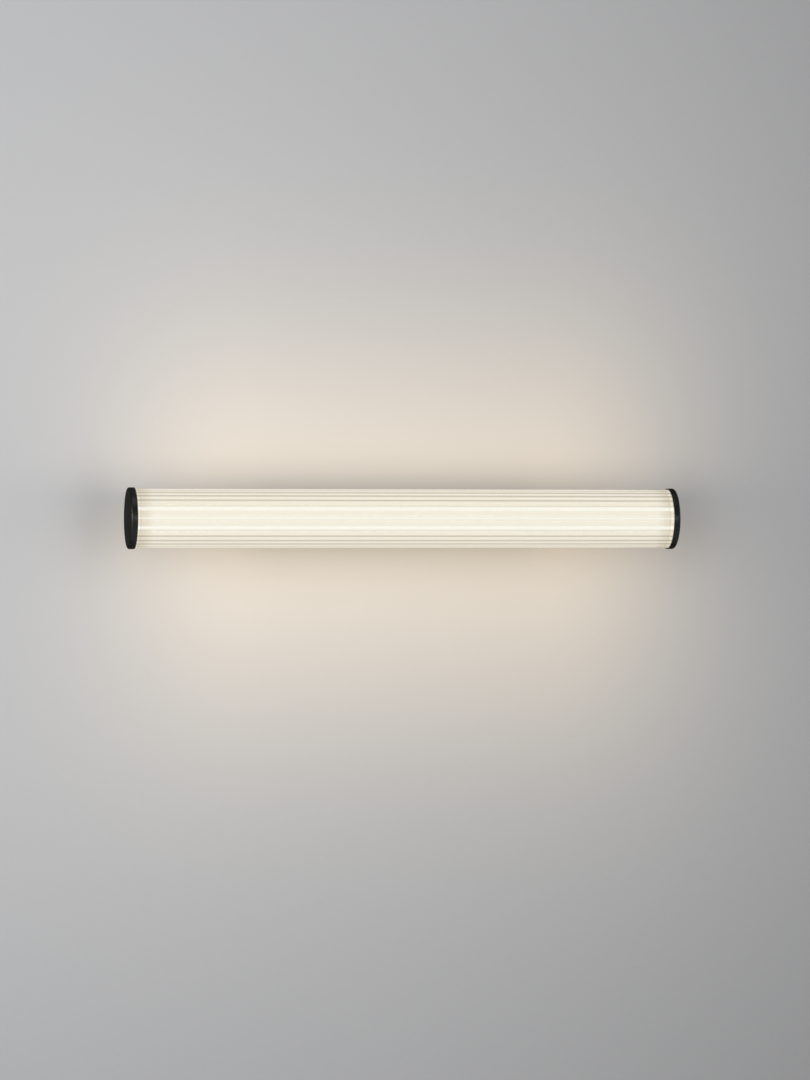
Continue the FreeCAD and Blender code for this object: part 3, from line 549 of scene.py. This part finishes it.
glass_clear = (1.0, 0.998, 0.99)
# The darker glass colour below is painted shade on the ribs and grooves.
glass_painted_shade = (0.41, 0.40, 0.37)
glass_roughness = 0.04
glass_ior = 1.5
fold_lean = (0.30, 0.64)
groove_lean = (0.08, 0.21)
outline_lean = (0.5, 0.85)
groove_floor = 0.1 * mm
groove_top = 0.7 * mm
etch_start = 0.3 * mm
etch_end = 1.5 * mm
bore_roughness = 0.6
bore_cream = (0.099, 0.094, 0.084)
bore_cream_high = (0.101, 0.096, 0.086)
# The bore's glow colours below are painted light: its emission stands in for the diffuser's light, with
# painted bright bands and a painted shade line by each cap.
bore_painted_light = (0.80, 0.75, 0.635)
bore_painted_dim = (0.68, 0.62, 0.49)
bore_painted_highlight = (0.89, 0.875, 0.79)
painted_band_height = 9.8 * mm
band_half_width = 1.2 * mm
dim_from = tube_high.x - 22 * mm
dim_full = tube_high.x - 8 * mm
end_line_x = 289.4 * mm
end_line_width = 0.8 * mm
end_line_shade = 0.10
end_gain = 0.12
end_gain_from = 289.8 * mm
end_gain_full = 290.8 * mm

# Painted shade: the ribs' colour darkens where they lean away and in the grooves near the tube's
# outline.  The satin bore carries painted light, an emission standing in for the diffuser's light seen
# through it, with three painted bright bands, and it dims by the caps.
glass = new_finish("clear_ribbed_glass")
z = glass.along(2)
from_middle = abs(glass.along(0))
drawn_lines = glass.noise(1.6 * mm, stretch=(0.02, 1, 1), detail=1.0)
glass_waves = glass.noise(40 * mm, stretch=(0.4, 1, 1), detail=1.0)
from_axis = glass.radius(tube_middle, (0, 1, 1))
etched_glowing_bore = 1 - from_axis.step(glass_bore + etch_start, glass_bore + etch_end)
in_groove = 1 - from_axis.step(rib_groove + groove_floor, rib_groove + groove_top)
round_way = glass.node(
    "ShaderNodeVectorMath", {"operation": "NORMALIZE"}, {0: glass.outward(tube_middle, (0, 1, 1))})
tube_lean = glass.node(
    "ShaderNodeLayerWeight", sockets={"Blend": 0.5, "Normal": round_way}, output="Facing")
rib_lean = glass.node("ShaderNodeLayerWeight", sockets={"Blend": 0.5}, output="Facing")
# Painted shade: a darker glass colour where the ribs lean away from the view and in the grooves near
# the outline.
painted_fold_shade = rib_lean.step(*fold_lean) + in_groove * tube_lean.step(*groove_lean)
painted_fold_shade = painted_fold_shade * (1 - tube_lean.step(*outline_lean))
bore_end = from_middle.step(dim_from, dim_full)
# Painted shade: a thin darker line in the bore's glow by each cap, and painted light a little brighter
# beyond it.
end_line = (from_middle - end_line_x).bell(end_line_width)
end_light = 1 - end_line_shade * end_line + end_gain * from_middle.step(end_gain_from, end_gain_full)
# Painted highlights: three bright bands along the bore's glow.
bands = (abs(z) - painted_band_height).bell(band_half_width) + z.bell(band_half_width)
bore_painted_glow = glass.mix(bands, glass.mix(bore_end, bore_painted_light, bore_painted_dim), bore_painted_highlight)
polished = glass.shader(
    Base_Color=glass.mix(painted_fold_shade, glass_clear, glass_painted_shade),
    Roughness=glass_roughness + 0.03 * drawn_lines,
    IOR=glass_ior,
    Transmission_Weight=1.0)
# The etched bore is satin glass whose emission is painted light, not a lamp.
satin = glass.shader(
    Base_Color=glass.mix(glass_waves, bore_cream, bore_cream_high),
    Roughness=bore_roughness,
    Emission_Color=glass.scaled(end_light, bore_painted_glow),
    Emission_Strength=1.0)
clear_glass = glass.shown(glass.node("ShaderNodeMixShader", sockets={0: etched_glowing_bore, 1: polished, 2: satin}))

glass_tube = as_piece("ribbed_glass_tube", form, clear_glass)
stem_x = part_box("right_stem")[0].lerp(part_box("right_stem")[1], 0.5).x
wall_side_y = tube_high.y + 5 * mm


def stem_holes(radius, end_y):
    """Forms that cut both stem holes from the tube's axis towards the wall."""
    return [rod(radius, tube_middle.y, end_y, (x, 0, 0), "Y") for x in (-stem_x, stem_x)]


drilled(glass_tube, stem_holes(stem_hole, wall_side_y))
glass_tube.visible_shadow = False
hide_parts("glass_tube")


# ---- Opal diffuser ---------------------------------------------------------------
# A smooth opal acrylic tube inside the glass, lit from within.  It glows evenly warm
# white and dims over its last centimetres, where the light rows end, and behind,
# where the aluminium spine stands close to it.

diffuser_low, diffuser_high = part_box("diffuser_tube")
diffuser_outer = (diffuser_high.z - diffuser_low.z) / 2
diffuser_wall = 2.0 * mm
diffuser_hole = 6.0 * mm
glow_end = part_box("upper_led_board")[1].x
opal_lit = (0.64, 0.60, 0.47)
opal_dim = (0.46, 0.41, 0.30)
opal_back = (0.30, 0.26, 0.19)
opal_cream = (0.40, 0.385, 0.355)
opal_cream_high = (0.42, 0.405, 0.37)
opal_roughness = 0.42
glow_fade = (glow_end - 12 * mm, glow_end + 9 * mm)
back_fade = (4 * mm, 18 * mm)

opal = new_finish("opal_acrylic")
to_end = abs(opal.along(0)).step(*glow_fade)
to_back = (opal.along(1) - tube_middle.y).step(*back_fade)
clouds = opal.noise(60 * mm, detail=1.0)
opal_glow = opal.mix(to_back, opal.mix(to_end, opal_lit, opal_dim), opal_back)
opal_skin = opal.noise(0.5 * mm)
opal_acrylic = opal.surface(
    Base_Color=opal.mix(clouds, opal_cream, opal_cream_high),
    Roughness=opal_roughness + 0.1 * opal_skin,
    Emission_Color=opal_glow,
    Emission_Strength=1.0,
    Normal=opal.bump(opal_skin, 0.01 * mm))

form = turned(
    [(diffuser_low.x, diffuser_outer - diffuser_wall), (diffuser_low.x, diffuser_outer),
     (diffuser_high.x, diffuser_outer), (diffuser_high.x, diffuser_outer - diffuser_wall)],
    steps=128, centre=tube_middle, closed=True)
diffuser = as_piece("opal_diffuser_tube", form, opal_acrylic)
drilled(diffuser, stem_holes(diffuser_hole, wall_side_y))
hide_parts("diffuser_tube")


# ---- End caps --------------------------------------------------------------------
# Slim cups turned from aluminium bar and powder coated satin black: a flat face, a
# soft outer edge, a thin rim over the glass and a threaded seat for the stud.

cap_rim_wall = 1.0 * mm
cap_edge = 1.8 * mm
cap_face = 3.0 * mm
cap_mouth = 0.3 * mm
stud_radius = 3.0 * mm
stud_seat = 2.2 * mm
cap_steps = 160
cap_black = (0.005, 0.0065, 0.0055)
cap_black_high = (0.008, 0.010, 0.0085)
peel_size = 0.35 * mm
peel_depth = 0.012 * mm
peel_share = 0.6
coat_patch = 12 * mm
coat_specular = 0.42
tool_pitch = 0.5 * mm
sides = {"right": 1, "left": -1}


def powder_coat(name, roughness, turned_about=None):
    """Satin black coat: fine orange peel and, on turned pieces, faint tool rings."""
    coat = new_finish(name)
    peel = coat.noise(peel_size, detail=2.0)
    patches = coat.noise(coat_patch, detail=2.0)
    height = peel
    if turned_about is not None:
        height = peel * peel_share + coat.rings(turned_about, tool_pitch) * (1 - peel_share)
    return coat.surface(
        Base_Color=coat.mix(patches, cap_black, cap_black_high),
        Roughness=roughness + 0.10 * (peel - 0.5),
        Specular_IOR_Level=coat_specular,
        Normal=coat.bump(height, peel_depth))


def to_side(form, side):
    """A right-hand form as it is, or turned half round the wall's normal for the left."""
    if sides[side] < 0:
        bmesh.ops.rotate(form, verts=form.verts, matrix=Matrix.Rotation(math.pi, 3, "Y"))
    return form


def fitted(name, form, finish, node):
    """A finished piece in the place of one CAD node."""
    piece = as_piece(name, form, finish)
    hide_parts(node)
    return piece


cap_coat = powder_coat("satin_black_turned", roughness=0.30, turned_about=tube_middle)
low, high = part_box("right_end_cap")
cap_outer = (high.z - low.z) / 2
cap_inner_x = high.x - cap_face
cup_profile = [
    (cap_inner_x + stud_seat, 0), (cap_inner_x + stud_seat, stud_radius), (cap_inner_x, stud_radius),
    (cap_inner_x, cap_outer - cap_rim_wall), (low.x, cap_outer - cap_rim_wall),
    (low.x, cap_outer - cap_mouth), (low.x + cap_mouth, cap_outer), (high.x, cap_outer), (high.x, 0)]
for side in sides:
    form = turned(cup_profile, rounds={7: cap_edge}, steps=cap_steps, centre=tube_middle)
    fitted(side + "_cap_turned", to_side(form, side), cap_coat, side + "_end_cap")


# ---- Cap studs -------------------------------------------------------------------
# Short lengths of zinc-plated M6 threaded rod.  Each is screwed into the blind seat in
# a cap and turns into the end plate, so the cap draws the seals tight.

zinc_colour = (0.72, 0.72, 0.71)
metal_dark = 0.84
metal_stain = 9 * mm
stain_share = 0.6
line_depth = 0.008 * mm
m6_pitch = 1.0 * mm
thread_depth = 0.4
stud_length = 8.0 * mm


def bare_metal(name, colour, roughness, line=0.3 * mm, stretch=(1, 1, 1), rings_about=None):
    """Bare or plated metal with fine lines, either along the squeezed axis or as tool rings."""
    metal = new_finish(name)
    lines = metal.noise(line, stretch=stretch, detail=2.0)
    if rings_about is not None:
        lines = metal.rings(rings_about, line)
    stains = metal.noise(metal_stain, detail=3.0)
    darker = tuple(metal_dark * part for part in colour)
    return metal.surface(
        Base_Color=metal.mix(stains * stain_share + lines * (1 - stain_share), darker, colour),
        Metallic=1.0,
        Roughness=roughness + 0.16 * (lines - 0.5),
        Normal=metal.bump(lines, line_depth))


def thread_profile(radius, start, end, pitch):
    """Lathe points of a thread from start to end: crests a pitch apart over their roots."""
    root = radius - thread_depth * pitch
    points = []
    for turn in range(int((end - start) / pitch)):
        points += [(start + turn * pitch, root), (start + (turn + 0.5) * pitch, radius)]
    return points + [(end, root)]


def together(*forms):
    """Several forms as one."""
    whole = bmesh.new()
    for form in forms:
        mesh = bpy.data.meshes.new("part")
        form.to_mesh(mesh)
        form.free()
        whole.from_mesh(mesh)
        bpy.data.meshes.remove(mesh)
    return whole


zinc = bare_metal("zinc_plated", zinc_colour, roughness=0.32)
low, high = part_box("cap_studs")
stud_start = high.x - stud_length
stud_thread = thread_profile(stud_radius, stud_start, high.x, m6_pitch)
stud_profile = [(stud_start, 0), *stud_thread, (high.x, 0)]
studs = [to_side(turned(stud_profile, steps=32, centre=tube_middle), side) for side in sides]
fitted("m6_cap_studs", together(*studs), zinc, "cap_studs")


# ---- Silicone seals --------------------------------------------------------------
# Translucent silicone mouldings.  A ring covers each end of the glass and reaches into
# its bore; under each stem a saddle follows the ribs and its collar fills the hole.

seal_lip = 1.2 * mm
seal_edge = 0.4 * mm
silicone_colour = (0.72, 0.72, 0.70)
moulded_dark = 0.92
moulded_cloud = 15 * mm
soft_depth = 2 * mm
cad_same_point = 1e-6
cad_same_plane = math.radians(0.5)


def moulded(name, colour, roughness, grain=0.3 * mm, depth=0.01 * mm, inside=0.0):
    """Moulded plastic, rubber or foam: a fine spark texture and slight clouding."""
    plastic = new_finish(name)
    spark = plastic.noise(grain, detail=1.0)
    cloud = plastic.noise(moulded_cloud, detail=2.0)
    darker = tuple(moulded_dark * part for part in colour)
    return plastic.surface(
        Base_Color=plastic.mix(cloud, darker, colour),
        Roughness=roughness + 0.12 * (spark - 0.5),
        Subsurface_Weight=inside,
        Subsurface_Scale=soft_depth,
        Normal=plastic.bump(spark, depth))


def copied(node, edge_break=0.0):
    """The form of a CAD node, its triangles joined to faces and its edges broken."""
    form = bmesh.new()
    form.from_mesh(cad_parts[node].data)
    bmesh.ops.remove_doubles(form, verts=form.verts, dist=cad_same_point)
    bmesh.ops.dissolve_limit(form, angle_limit=cad_same_plane, verts=form.verts, edges=form.edges)
    if edge_break:
        folds = [edge for edge in form.edges
                 if edge.is_manifold and edge.calc_face_angle() > sharp_fold]
        bmesh.ops.bevel(form, geom=folds, offset=edge_break, offset_type="OFFSET", affect="EDGES",
                        segments=2, profile=0.5, material=-1, clamp_overlap=True)
    return form


def refined(name, node, finish, edge_break=0.0):
    """A piece with the form of its CAD node, its edges broken."""
    return fitted(name, copied(node, edge_break), finish, node)


silicone = moulded("clear_silicone", silicone_colour, roughness=0.45, inside=0.3)
low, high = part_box("right_end_seal")
seal_profile = [
    (low.x, glass_bore - seal_lip), (high.x, glass_bore - seal_lip), (high.x, rib_crest),
    (tube_high.x, rib_crest), (tube_high.x, glass_bore), (low.x, glass_bore)]
for side in sides:
    form = turned(seal_profile, rounds={5: seal_edge}, steps=96, centre=tube_middle, closed=True)
    fitted(side + "_seal_ring", to_side(form, side), silicone, side + "_end_seal")
    refined(side + "_saddle_pad", side + "_saddle_seal", silicone)


# ---- End plates ------------------------------------------------------------------
# Turned aluminium discs that close the spine.  Their flange carries the glass and their
# shoulder the diffuser; two countersunk screws pull each into the spine's ports.

plate_colour = (0.74, 0.74, 0.74)
plate_edge = 0.2 * mm
turned_aluminium = bare_metal(
    "turned_aluminium", plate_colour, roughness=0.30, line=0.4 * mm, rings_about=tube_middle)
for side in sides:
    plate = side + "_end_plate"
    refined(side + "_plate_turned", plate, turned_aluminium, edge_break=plate_edge)
refined("countersunk_screws", "end_plate_screws", zinc, edge_break=0.1 * mm)


# ---- LED spine -------------------------------------------------------------------
# One natural anodised aluminium extrusion the length of the tube: a round back, two
# sloping faces for the boards, a lead chamber and screw ports.  Die lines run along it.

spine_colour = (0.80, 0.80, 0.80)
extruded = bare_metal("extruded_aluminium", spine_colour, roughness=0.34, stretch=(0.01, 1, 1))
refined("extruded_spine", "led_spine", extruded, edge_break=0.15 * mm)


# ---- LED boards and chips --------------------------------------------------------
# Aluminium-core strips with white solder mask and tinned tracks between the chips.
# Each chip is a white case with a sunk yellow phosphor face; nylon screws hold the strip.

chip_pitch = 12.0 * mm
track_reach = 3.6 * mm
track_edge = 0.2 * mm
track_height = 0.03 * mm
mask_white = (0.93, 0.93, 0.92)
track_tin = (0.80, 0.81, 0.78)
chip_white = (0.92, 0.92, 0.90)
phosphor_yellow = (0.95, 0.80, 0.35)
nylon_colour = (0.90, 0.90, 0.87)
face_tilt = math.radians(50)
chip_wall = 0.35 * mm
phosphor_sunk = 0.1 * mm

mask = new_finish("white_solder_mask")
between_chips = mask.along(0).to_and_fro(chip_pitch)
track = between_chips.step(track_reach, track_reach + track_edge)
mask_grain = mask.noise(0.2 * mm)
solder_mask = mask.surface(
    Base_Color=mask.mix(track, mask_white, track_tin),
    Roughness=0.28 + 0.1 * mask_grain,
    Normal=mask.bump(track, track_height))
chip_case = moulded("white_chip_case", chip_white, roughness=0.4)
phosphor = moulded("yellow_phosphor", phosphor_yellow, roughness=0.55, grain=0.1 * mm)
nylon = moulded("nylon_white", nylon_colour, roughness=0.4)

for row, side in (("upper", 1), ("lower", -1)):
    refined(row + "_strip", row + "_led_board", solder_mask, edge_break=0.08 * mm)
    form = copied(row + "_led_chips")
    ahead = Vector((0, -math.cos(face_tilt), side * math.sin(face_tilt)))
    faces = [face for face in form.faces if face.normal.dot(ahead) > 0.99]
    bmesh.ops.inset_individual(form, faces=faces, thickness=chip_wall, depth=-phosphor_sunk)
    for face in faces:
        face.material_index = 1
    chips = fitted(row + "_chip_row", form, chip_case, row + "_led_chips")
    chips.data.materials.append(phosphor)
refined("nylon_board_screws", "led_board_screws", nylon, edge_break=0.2 * mm)


# ---- Stems -----------------------------------------------------------------------
# Zinc-plated M10 threaded tubes from inside the housing to the spine's chamber.  A
# washer and a hexagon nut hold each in the housing; a bush guards the leads in one.

m10_pitch = 1.0 * mm
stem_radius = 5.0 * mm
stem_bore = 3.2 * mm
bush_bore = 2.4 * mm
bush_sleeve = 6.0 * mm
bush_edge = 0.4 * mm
nylon_black_colour = (0.03, 0.03, 0.03)

stem_low, stem_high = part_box("right_stem")
stem_centre = (stem_x, 0, tube_middle.z)
stem_profile = [
    (stem_low.y, stem_bore), *thread_profile(stem_radius, stem_low.y, stem_high.y, m10_pitch),
    (stem_high.y, stem_bore)]
for side in sides:
    form = turned(stem_profile, steps=48, centre=stem_centre, axis="Y", closed=True)
    fitted(side + "_stem_tube", to_side(form, side), zinc, side + "_stem")
refined("pressed_washers", "stem_washers", zinc, edge_break=0.12 * mm)
refined("hexagon_nuts", "stem_nuts", zinc, edge_break=0.35 * mm)

black_nylon = moulded("nylon_black", nylon_black_colour, roughness=0.45)
low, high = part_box("wire_bush")
bush_profile = [
    (low.y, bush_bore), (high.y, bush_bore), (high.y, stem_radius), (low.y + bush_sleeve, stem_radius),
    (low.y + bush_sleeve, stem_bore), (low.y, stem_bore)]
bush_rounds = {1: bush_edge, 2: bush_edge}
form = turned(bush_profile, bush_rounds, centre=stem_centre, axis="Y", closed=True)
fitted("lead_guard_bush", form, black_nylon, "wire_bush")


# ---- Spacers ---------------------------------------------------------------------
# Satin black anodised aluminium collars round the stems.  Their front end is milled to
# the round of the tube, so that they hold the glass off the housing on its saddle.

saddle_pad = 1.5 * mm
spacer_edge = 0.5 * mm
spacer_bore = stem_radius + 0.05 * mm
spacer_steps = 96
seat_steps = 256
anodised = powder_coat("satin_black_anodised", roughness=0.42)
low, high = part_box("right_spacer")
spacer_radius = (high.z - low.z) / 2
spacer_profile = [
    (tube_middle.y, spacer_bore), (high.y, spacer_bore), (high.y, spacer_radius),
    (tube_middle.y, spacer_radius)]
for side in sides:
    form = turned(
        spacer_profile, {2: spacer_edge}, spacer_steps, centre=stem_centre, axis="Y", closed=True)
    collar = to_side(form, side)
    spacer = fitted(side + "_spacer_collar", collar, anodised, side + "_spacer")
    seat = rod(rib_crest + saddle_pad, -tube_high.x, tube_high.x, tube_middle, "X", seat_steps)
    drilled(spacer, [seat])


# ---- Rear housing ----------------------------------------------------------------
# A shallow box drawn from steel sheet and powder coated satin black: round corners, a
# soft front edge, an open back, and holes for the stems and the two side screws.

housing_wall = 1.6 * mm
housing_corner = 8.0 * mm
housing_edge = 2.5 * mm
screw_hole = 2.15 * mm
corner_steps = 10
edge_steps = 6
same_plane = 1e-6


def slab(low, high, corner):
    """A block between two corners of the frame, its upright edges rounded."""
    form = bmesh.new()
    bmesh.ops.create_cube(form, size=1.0)
    bmesh.ops.scale(form, verts=form.verts, vec=high - low)
    bmesh.ops.translate(form, verts=form.verts, vec=(low + high) / 2)
    half_depth = (high.y - low.y) / 2
    upright = [edge for edge in form.edges
               if abs(edge.verts[0].co.y - edge.verts[1].co.y) > half_depth]
    bmesh.ops.bevel(form, geom=upright, offset=corner, offset_type="OFFSET", affect="EDGES",
                    segments=corner_steps, profile=0.5, material=-1)
    return form


def opened(form, depth):
    """The form without its flat faces at a depth from the wall."""
    flat = [face for face in form.faces
            if abs(face.normal.y) > 0.9 and abs(face.calc_center_median().y - depth) < same_plane]
    bmesh.ops.delete(form, geom=flat, context="FACES_ONLY")
    return form


def tray(low, high, corner, front_round):
    """A slab with a soft front edge and no back."""
    form = slab(low, high, corner)
    front = [edge for edge in form.edges
             if all(abs(vert.co.y - low.y) < same_plane for vert in edge.verts)]
    bmesh.ops.bevel(form, geom=front, offset=front_round, offset_type="OFFSET", affect="EDGES",
                    segments=edge_steps, profile=0.5, material=-1)
    return opened(form, high.y)


def flat_shaded(piece):
    """Keeps the shading of wide faces flat up to their soft edges."""
    even = piece.modifiers.new("even_faces", "WEIGHTED_NORMAL")
    even.keep_sharp = True


housing_low, housing_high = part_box("rear_housing")
inset = Vector((housing_wall, 0, housing_wall))
front_wall = Vector((0, housing_wall, 0))
outside = tray(housing_low, housing_high, housing_corner, housing_edge)
inside = tray(housing_low + inset + front_wall, housing_high - inset,
              housing_corner - housing_wall, housing_edge - housing_wall)
bmesh.ops.reverse_faces(inside, faces=inside.faces)
form = together(outside, inside)
bmesh.ops.bridge_loops(form, edges=[edge for edge in form.edges if edge.is_boundary])
bmesh.ops.recalc_face_normals(form, faces=form.faces)

housing_coat = powder_coat("satin_black_housing", roughness=0.46)
housing = fitted("drawn_housing", form, housing_coat, "rear_housing")
screw_low, screw_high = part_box("housing_screws")
screw_centre = Vector((0, (screw_low.y + screw_high.y) / 2, 0))
stem_cuts = [rod(spacer_bore, housing_low.y - mm, housing_high.y, (x, 0, 0), "Y")
             for x in (stem_x, -stem_x)]
side_cut = rod(screw_hole, 2 * housing_low.x, 2 * housing_high.x, screw_centre, "X")
flat_shaded(drilled(housing, [*stem_cuts, side_cut]))


# ---- Housing screws --------------------------------------------------------------
# Blackened M4 button-head screws, one through each end wall into the bracket's tab.
# Each has a low dome and a hexagon socket, turned a little as the screw came to rest.

button_dome = 1.7 * mm
socket_radius = 1.45 * mm
socket_depth = 1.3 * mm
m4_radius = 2.0 * mm
m4_pitch = 0.7 * mm
button_radius = (screw_high.z - screw_low.z) / 2
m4_length = 9.0 * mm
socket_turn = Matrix.Rotation(math.radians(11), 3, "X")

black_screw = powder_coat("blackened_screw", roughness=0.34)
m4_tip = housing_high.x - m4_length
button_profile = [
    (m4_tip, 0), *thread_profile(m4_radius, m4_tip, housing_high.x, m4_pitch),
    (housing_high.x, button_radius), (screw_high.x, button_radius), (screw_high.x, 0)]
button_rounds = {len(button_profile) - 2: button_dome}
screws = [to_side(turned(button_profile, button_rounds, steps=48, centre=screw_centre), side)
          for side in sides]
screw_pair = fitted(
    "button_head_screws", together(*screws), black_screw, "housing_screws")
sockets = []
socket_end = screw_high.x - socket_depth
for side in sides:
    form = rod(socket_radius, socket_end, screw_high.x + mm, screw_centre, "X", steps=6)
    bmesh.ops.rotate(form, verts=form.verts, cent=screw_centre, matrix=socket_turn)
    sockets.append(to_side(form, side))
drilled(screw_pair, sockets)


# ---- Wall gasket -----------------------------------------------------------------
# A frame die cut from black closed-cell foam.  It closes the housing's rim against the
# wall and stands round the bracket.

gasket_side = 4.0 * mm
gasket_end = 1.7 * mm
foam_black = (0.05, 0.05, 0.055)
foam = moulded("closed_cell_foam", foam_black, roughness=0.85, grain=0.5 * mm, depth=0.08 * mm)
low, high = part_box("wall_gasket")
window_low = low + Vector((gasket_end, -mm, gasket_side))
window_high = high + Vector((-gasket_end, mm, -gasket_side))
gasket = fitted("foam_frame", slab(low, high, housing_corner), foam, "wall_gasket")
drilled(gasket, [slab(window_low, window_high, housing_corner - housing_wall)])


# ---- Wall bracket ----------------------------------------------------------------
# Folded from 1.5 mm galvanised steel sheet, with its flowery zinc spangle: two slots
# for the wall screws, a tab at each end for the housing, a hole for the supply cable.

spangle_size = 6.0 * mm
spangle_dark = (0.52, 0.53, 0.54)
spangle_pale = (0.70, 0.71, 0.72)
bracket_edge = 0.15 * mm

galvanised = new_finish("galvanised_sheet")
crystal = galvanised.node(
    "ShaderNodeTexVoronoi", {"feature": "F1"},
    {"Vector": galvanised.place(), "Scale": 1 / spangle_size}, output="Color")
tone = galvanised.node("ShaderNodeSeparateColor", sockets={0: crystal})
scratches = galvanised.noise(0.4 * mm, stretch=(0.05, 1, 1), detail=2.0)
zinc_sheet = galvanised.surface(
    Base_Color=galvanised.mix(tone, spangle_dark, spangle_pale),
    Metallic=1.0,
    Roughness=0.34 + 0.12 * tone + 0.08 * (scratches - 0.5),
    Normal=galvanised.bump(scratches, 0.006 * mm))
flat_shaded(refined(
    "folded_bracket", "wall_bracket", zinc_sheet, edge_break=bracket_edge))


# ---- Cable bush ------------------------------------------------------------------
# A black nylon bush snapped into the bracket, with a rounded mouth that the supply
# cable comes through from the wall.

cable_bore = 5.0 * mm
cable_flange = 1.5 * mm
mouth_round = 0.6 * mm
flange_round = 0.5 * mm
sleeve_radius = 8.0 * mm

low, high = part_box("cable_bush")
flange_radius = (high.z - low.z) / 2
bush_centre = ((low.x + high.x) / 2, 0, 0)
bush_profile = [
    (low.y, cable_bore), (high.y, cable_bore), (high.y, sleeve_radius),
    (low.y + cable_flange, sleeve_radius), (low.y + cable_flange, flange_radius),
    (low.y, flange_radius)]
bush_rounds = {0: mouth_round, 1: mouth_round, 5: flange_round}
form = turned(bush_profile, bush_rounds, centre=bush_centre, axis="Y", closed=True)
fitted("cable_entry_bush", form, black_nylon, "cable_bush")


# ---- Terminal block --------------------------------------------------------------
# A moulded nylon block with a turned brass barrel and two zinc-plated clamp screws for
# each pole, and two screws that fix it to the bracket.

brass_colour = (0.78, 0.62, 0.33)
brass = bare_metal("turned_brass", brass_colour, roughness=0.28, line=0.25 * mm)
flat_shaded(refined("nylon_block", "terminal_block", nylon, edge_break=0.25 * mm))
refined("clamp_barrels", "terminal_barrels", brass)
refined("clamp_screws", "terminal_screws", zinc, edge_break=0.2 * mm)
refined("block_fixing_screws", "terminal_block_screws", zinc, edge_break=0.25 * mm)


# ---- LED driver ------------------------------------------------------------------
# A white polycarbonate case with a fitted lid, spark textured, and a screwed foot at
# each end.  Mains leads enter at one end and the LED leads leave at the other.

case_white = (0.86, 0.86, 0.84)
case_plastic = moulded(
    "white_polycarbonate", case_white, roughness=0.5, grain=0.4 * mm, depth=0.02 * mm)
flat_shaded(refined("driver_box", "driver_case", case_plastic, edge_break=0.3 * mm))
flat_shaded(refined("driver_cover", "driver_lid", case_plastic, edge_break=0.2 * mm))
refined("driver_fixing_screws", "driver_screws", zinc, edge_break=0.25 * mm)


# ---- Protective earth ------------------------------------------------------------
# A brass M4 stud pressed into the bracket, with a tinned copper ring lug held on it by
# a washer and a brass nut.

plain_shank = 1.5 * mm
tinned_colour = (0.76, 0.75, 0.73)

low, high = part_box("earth_stud")
earth_centre = ((low.x + high.x) / 2, 0, (low.z + high.z) / 2)
thread_end = high.y - plain_shank
earth_profile = [
    (low.y, 0), *thread_profile(m4_radius, low.y, thread_end, m4_pitch), (thread_end, m4_radius),
    (high.y, m4_radius), (high.y, 0)]
form = turned(earth_profile, steps=32, centre=earth_centre, axis="Y")
fitted("m4_earth_stud", form, brass, "earth_stud")
tinned = bare_metal("copper_tinned", tinned_colour, roughness=0.3)
refined("crimped_lug", "earth_lug", tinned, edge_break=0.08 * mm)
refined("earth_washer_disc", "earth_washer", zinc, edge_break=0.12 * mm)
refined("brass_nut", "earth_nut", brass, edge_break=0.3 * mm)


# ---- Internal leads --------------------------------------------------------------
# PVC insulated copper, held at both ends: brown and blue from the terminals to the
# driver, green with yellow bands to the lug, red and black through the stem to the LEDs.

insulation = {
    "live_lead": ("wire_brown", (0.30, 0.15, 0.07)),
    "neutral_lead": ("wire_blue", (0.08, 0.22, 0.55)),
    "positive_led_lead": ("wire_red", (0.62, 0.06, 0.05)),
    "negative_led_lead": ("wire_black", (0.05, 0.05, 0.05)),
    "board_link_lead": ("wire_black", (0.05, 0.05, 0.05)),
}
for node, (slot, colour) in insulation.items():
    pvc = moulded("pvc_" + node, colour, roughness=0.38, grain=0.6 * mm)
    refined("insulated_" + node, node, pvc)

earth_green = (0.20, 0.50, 0.16)
earth_yellow = (0.85, 0.72, 0.08)
band_width = 2.5 * mm
band_edge = (0.55 * band_width, 0.65 * band_width)
earth_pvc = new_finish("pvc_green_yellow")
twist = earth_pvc.along(0) - earth_pvc.along(2) + 0.6 * earth_pvc.along(1)
yellow = twist.to_and_fro(band_width).step(*band_edge)
pvc_grain = earth_pvc.noise(0.6 * mm)
earth_insulation = earth_pvc.surface(
    Base_Color=earth_pvc.mix(yellow, earth_green, earth_yellow),
    Roughness=0.34 + 0.08 * pvc_grain)
refined("insulated_earth_lead", "earth_lead", earth_insulation)
